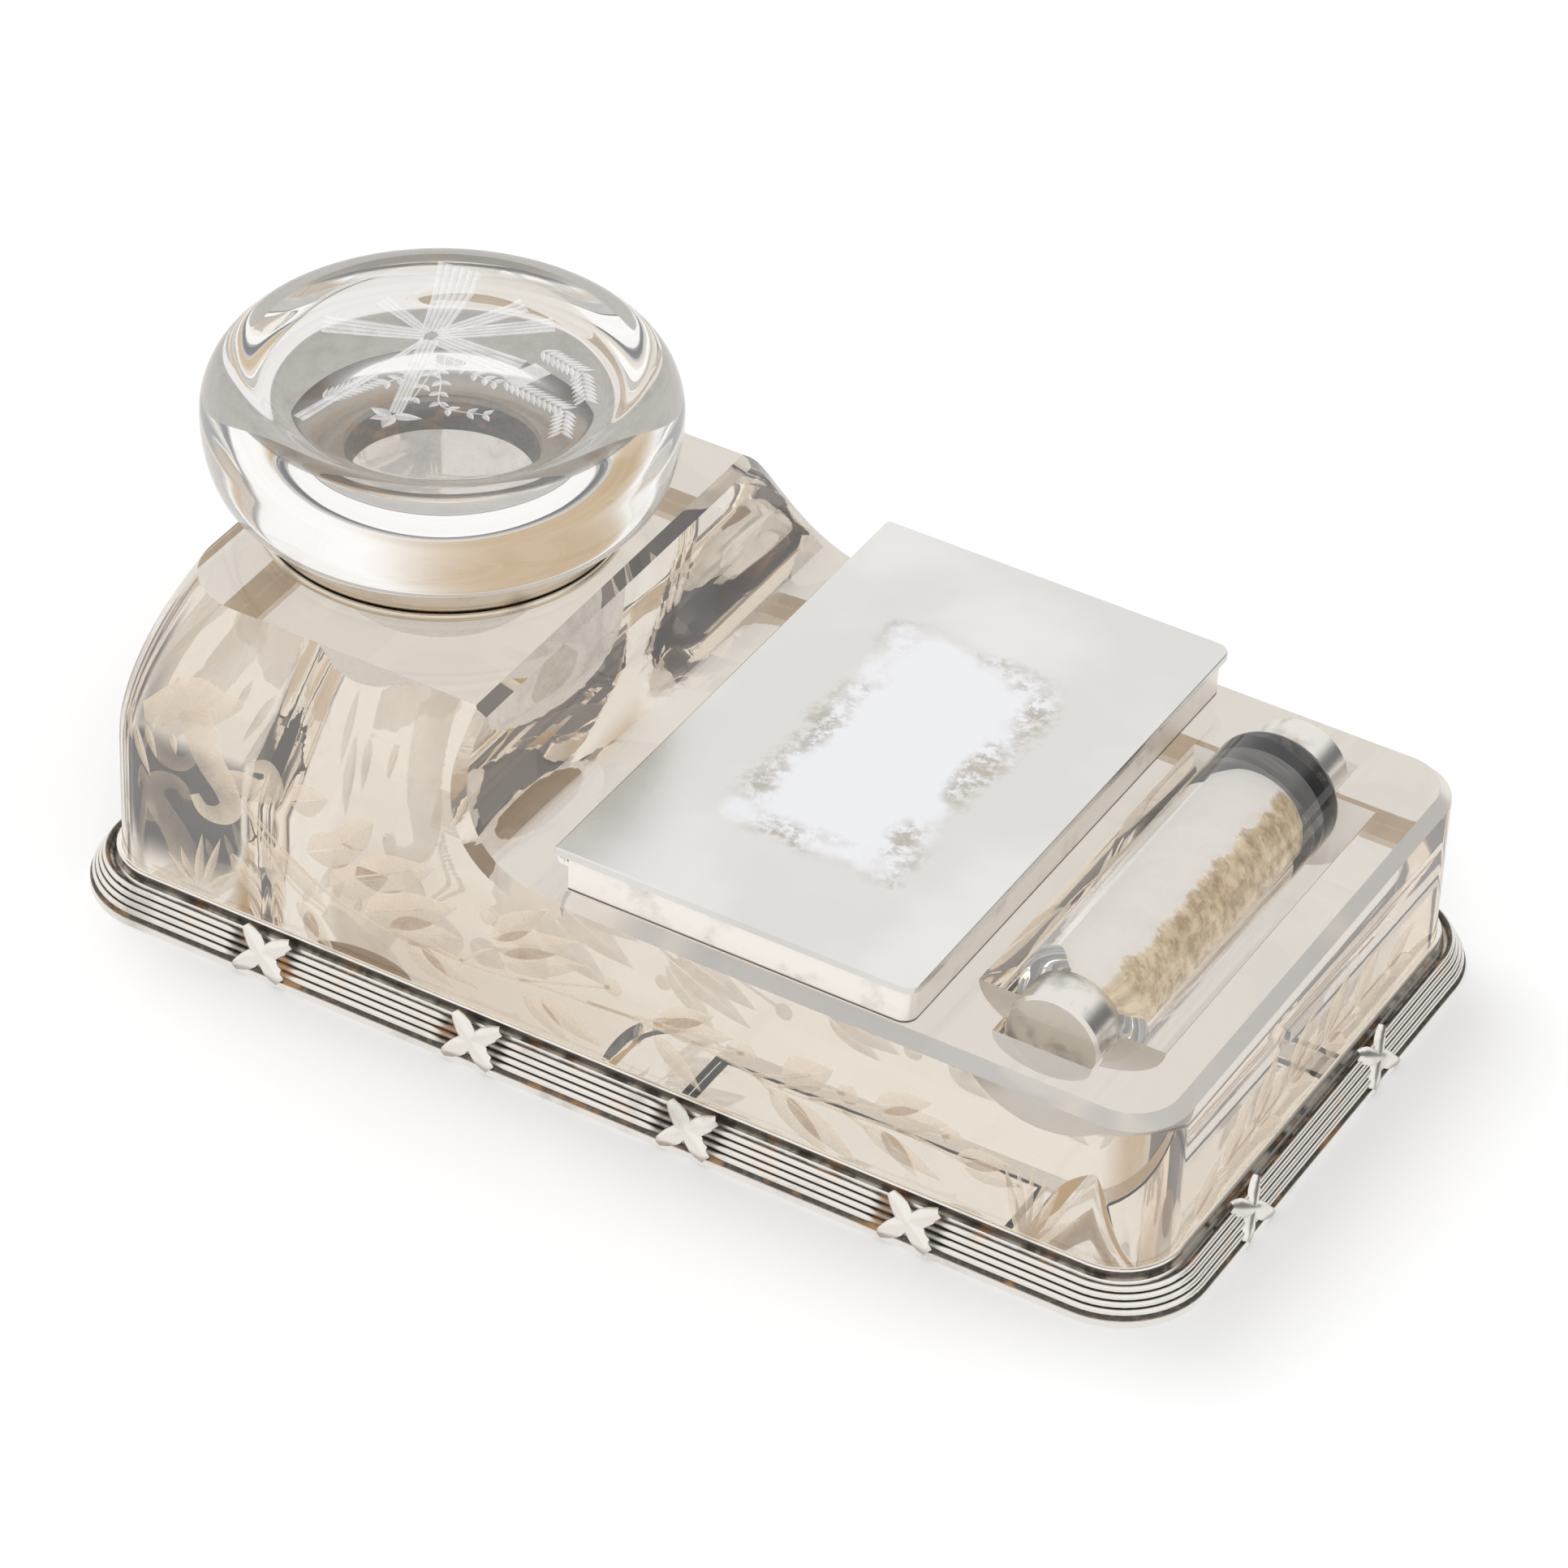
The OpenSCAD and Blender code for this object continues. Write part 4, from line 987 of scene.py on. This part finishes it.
roller_glass = glass("glass_roller", ((0.9, 0.86, 0.8, 1), 2.0), ((1, 0.98, 0.95, 1), 4.0), ripple=0.1)
flat_r, round_z = ROLL_R - ROLL_ROUND, ROLL_HALF - ROLL_ROUND
roll_side = [(0, -ROLL_HALF), (BORE_R, -ROLL_HALF), (flat_r, -ROLL_HALF)]
roll_side += arc(flat_r, -round_z, ROLL_ROUND, -math.pi / 2, 0, 10)[1:]
roll_side += arc(flat_r, round_z, ROLL_ROUND, 0, math.pi / 2, 10) + [(0, ROLL_HALF)]
roller = laid_down(turned("glass_roller", roll_side, 0, [roller_glass], "roller"))
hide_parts("roller_barrel")

bore_line = [(0, -ROLL_HALF + BORE_FROM - 0.2)]
bore_line += [(BORE_R, -ROLL_HALF + BORE_FROM + BORE_LONG * k / 24) for k in range(25)]
bore_line += [(BORE_R * 0.8, ROLL_HALF - 7.4), (0, ROLL_HALF - 6.6)]
core = laid_down(turned("roller_bore", bore_line, 0, [bore_painted_light()], "roller", count=64))

pitch = matt("black_pitch", (0.035, 0.035, 0.04), 0.93, painted_glow=0.0)
seal_line = [(ROLL_R - BORE_SKIN, ROLL_HALF - SEAL_LONG), (ROLL_R - BORE_SKIN, round_z)]
seal_line += arc(flat_r, round_z, ROLL_ROUND - BORE_SKIN, 0, math.pi / 2 - 0.3, 8)[1:]
laid_down(turned("pitch_seal", seal_line, 0, [pitch], "roller", count=64))

# ------------------------------------------------------- table, light, camera
# A white table in a pale studio, lit softly from the upper left and seen by a long lens. Glass and
# silver see other tones in place of the table and studio, and no lamps.

CAMERA_RAY, GLOSSY_RAY, GLASS_RAY = 0, 3, 6  # outputs of Blender's Light Path node
FLOOR_HALF = 3000  # mm


def by_ray(maker, shader, *cases):
    """A shader that differs by the kind of ray; cases are (Light Path output, shader)."""
    for kind, other in cases:
        ray = maker.node("ShaderNodeLightPath", out=kind)
        shader = maker.node("ShaderNodeMixShader", i0=ray, i1=shader, i2=other)
    return shader


table_white = bpy.data.materials.new("table_white")
maker = bare_tree(table_white)
chalk = maker.node("ShaderNodeBsdfDiffuse", Color=(0.96, 0.96, 0.96, 1))
seen_in_silver = maker.node("ShaderNodeEmission", Color=(0.92, 0.91, 0.9, 1), Strength=1.0)
# seen through the glass the table glows dimmer: painted shade for the table under the block
painted_shade_in_glass = maker.node("ShaderNodeEmission", Color=(0.8, 0.78, 0.75, 1), Strength=1.0)
show(by_ray(maker, chalk, (GLOSSY_RAY, seen_in_silver), (GLASS_RAY, painted_shade_in_glass)),
     "ShaderNodeOutputMaterial")
corners = [(FLOOR_HALF * x, FLOOR_HALF * y, 0) for x, y in ((-1, -1), (1, -1), (1, 1), (-1, 1))]
build_mesh("table", corners, [(0, 1, 2, 3)], [table_white], None)

sky = bpy.data.worlds.new("studio")
bpy.context.scene.world = sky
maker = bare_tree(sky)
wx, wy, wz = split_axes(maker.node("ShaderNodeTexCoord", out=0))


def patch(x, y, z, near, far):
    """1 close to a direction, 0 away from it; near and far are cosines of the angle."""
    size = math.sqrt(x * x + y * y + z * z)
    return (wx * (x / size) + wy * (y / size) + wz * (z / size)).rise(far, near)


def background(colour, strength=1.0):
    return maker.node("ShaderNodeBackground", Color=colour, Strength=strength)


front_low = wy.rise(-0.25, -0.55) * wz.rise(0.5, 0.3)
dark = patch(0.384, 0.69, 0.613, 0.99, 0.968)
gold = patch(-0.8, 0.5, 0.25, 0.95, 0.8).most(patch(0.9, 0.4, 0.15, 0.95, 0.85))
in_silver = front_low.blend((1.0, 1.0, 1.0, 1), (0.92, 0.89, 0.85, 1))
in_silver = patch(0.722, 0.691, 0.06, 0.975, 0.82).blend(in_silver, (0.18, 0.18, 0.18, 1))
in_glass = front_low.blend((0.84, 0.82, 0.79, 1), (0.56, 0.48, 0.38, 1))
in_glass = gold.blend(in_glass, (0.42, 0.28, 0.12, 1))
in_glass = dark.blend(in_glass, (0.05, 0.055, 0.065, 1))
show(by_ray(maker, background((1, 1, 1, 1), 0.9), (GLOSSY_RAY, background(in_silver)),
            (GLASS_RAY, background(in_glass)), (CAMERA_RAY, background((1, 1, 1, 1)))),
     "ShaderNodeOutputWorld")


def lamp(name, place, size, watts):
    """A round lamp aimed at the part's middle."""
    data = bpy.data.lights.new(name, "AREA")
    data.shape, data.size, data.energy = "DISK", size, watts
    made = bpy.data.objects.new(name, data)
    bpy.context.scene.collection.objects.link(made)
    made.location = place
    made.rotation_euler = (Vector((0, 0, 0.03)) - Vector(place)).to_track_quat("-Z", "Y").to_euler()
    made.visible_transmission = made.visible_glossy = False


lamp("key", (-0.5, 0.25, 1.0), 0.6, 2.8)
lamp("fill", (0.5, -0.9, 0.9), 0.7, 2.0)

# the camera stands this far to the right, up and back from the origin along its own axes, in metres
RIGHTWARD, UPWARD, BACKWARD = 0.00119, 0.01960, 1.0078
AZIMUTH, ELEVATION, ROLL = (math.radians(v) for v in (29.05, 37.80, 2.51))
right = Vector((math.cos(AZIMUTH), math.sin(AZIMUTH), 0))
back = Vector((math.sin(AZIMUTH) * math.cos(ELEVATION), -math.cos(AZIMUTH) * math.cos(ELEVATION),
               math.sin(ELEVATION)))
up = back.cross(right)
axis_x = math.cos(ROLL) * right + math.sin(ROLL) * up
axis_y = -math.sin(ROLL) * right + math.cos(ROLL) * up
camera_data = bpy.data.cameras.new("camera")
camera_data.lens, camera_data.sensor_width = 158.93, 36.0
camera_data.clip_start, camera_data.clip_end = 0.05, 20.0
camera = bpy.data.objects.new("camera", camera_data)
bpy.context.scene.collection.objects.link(camera)
stand = Matrix((axis_x, axis_y, back)).transposed().to_4x4()
stand.translation = axis_x * RIGHTWARD + axis_y * UPWARD + back * BACKWARD
camera.matrix_world = stand
bpy.context.scene.camera = camera
bpy.context.scene.view_settings.view_transform = "Standard"
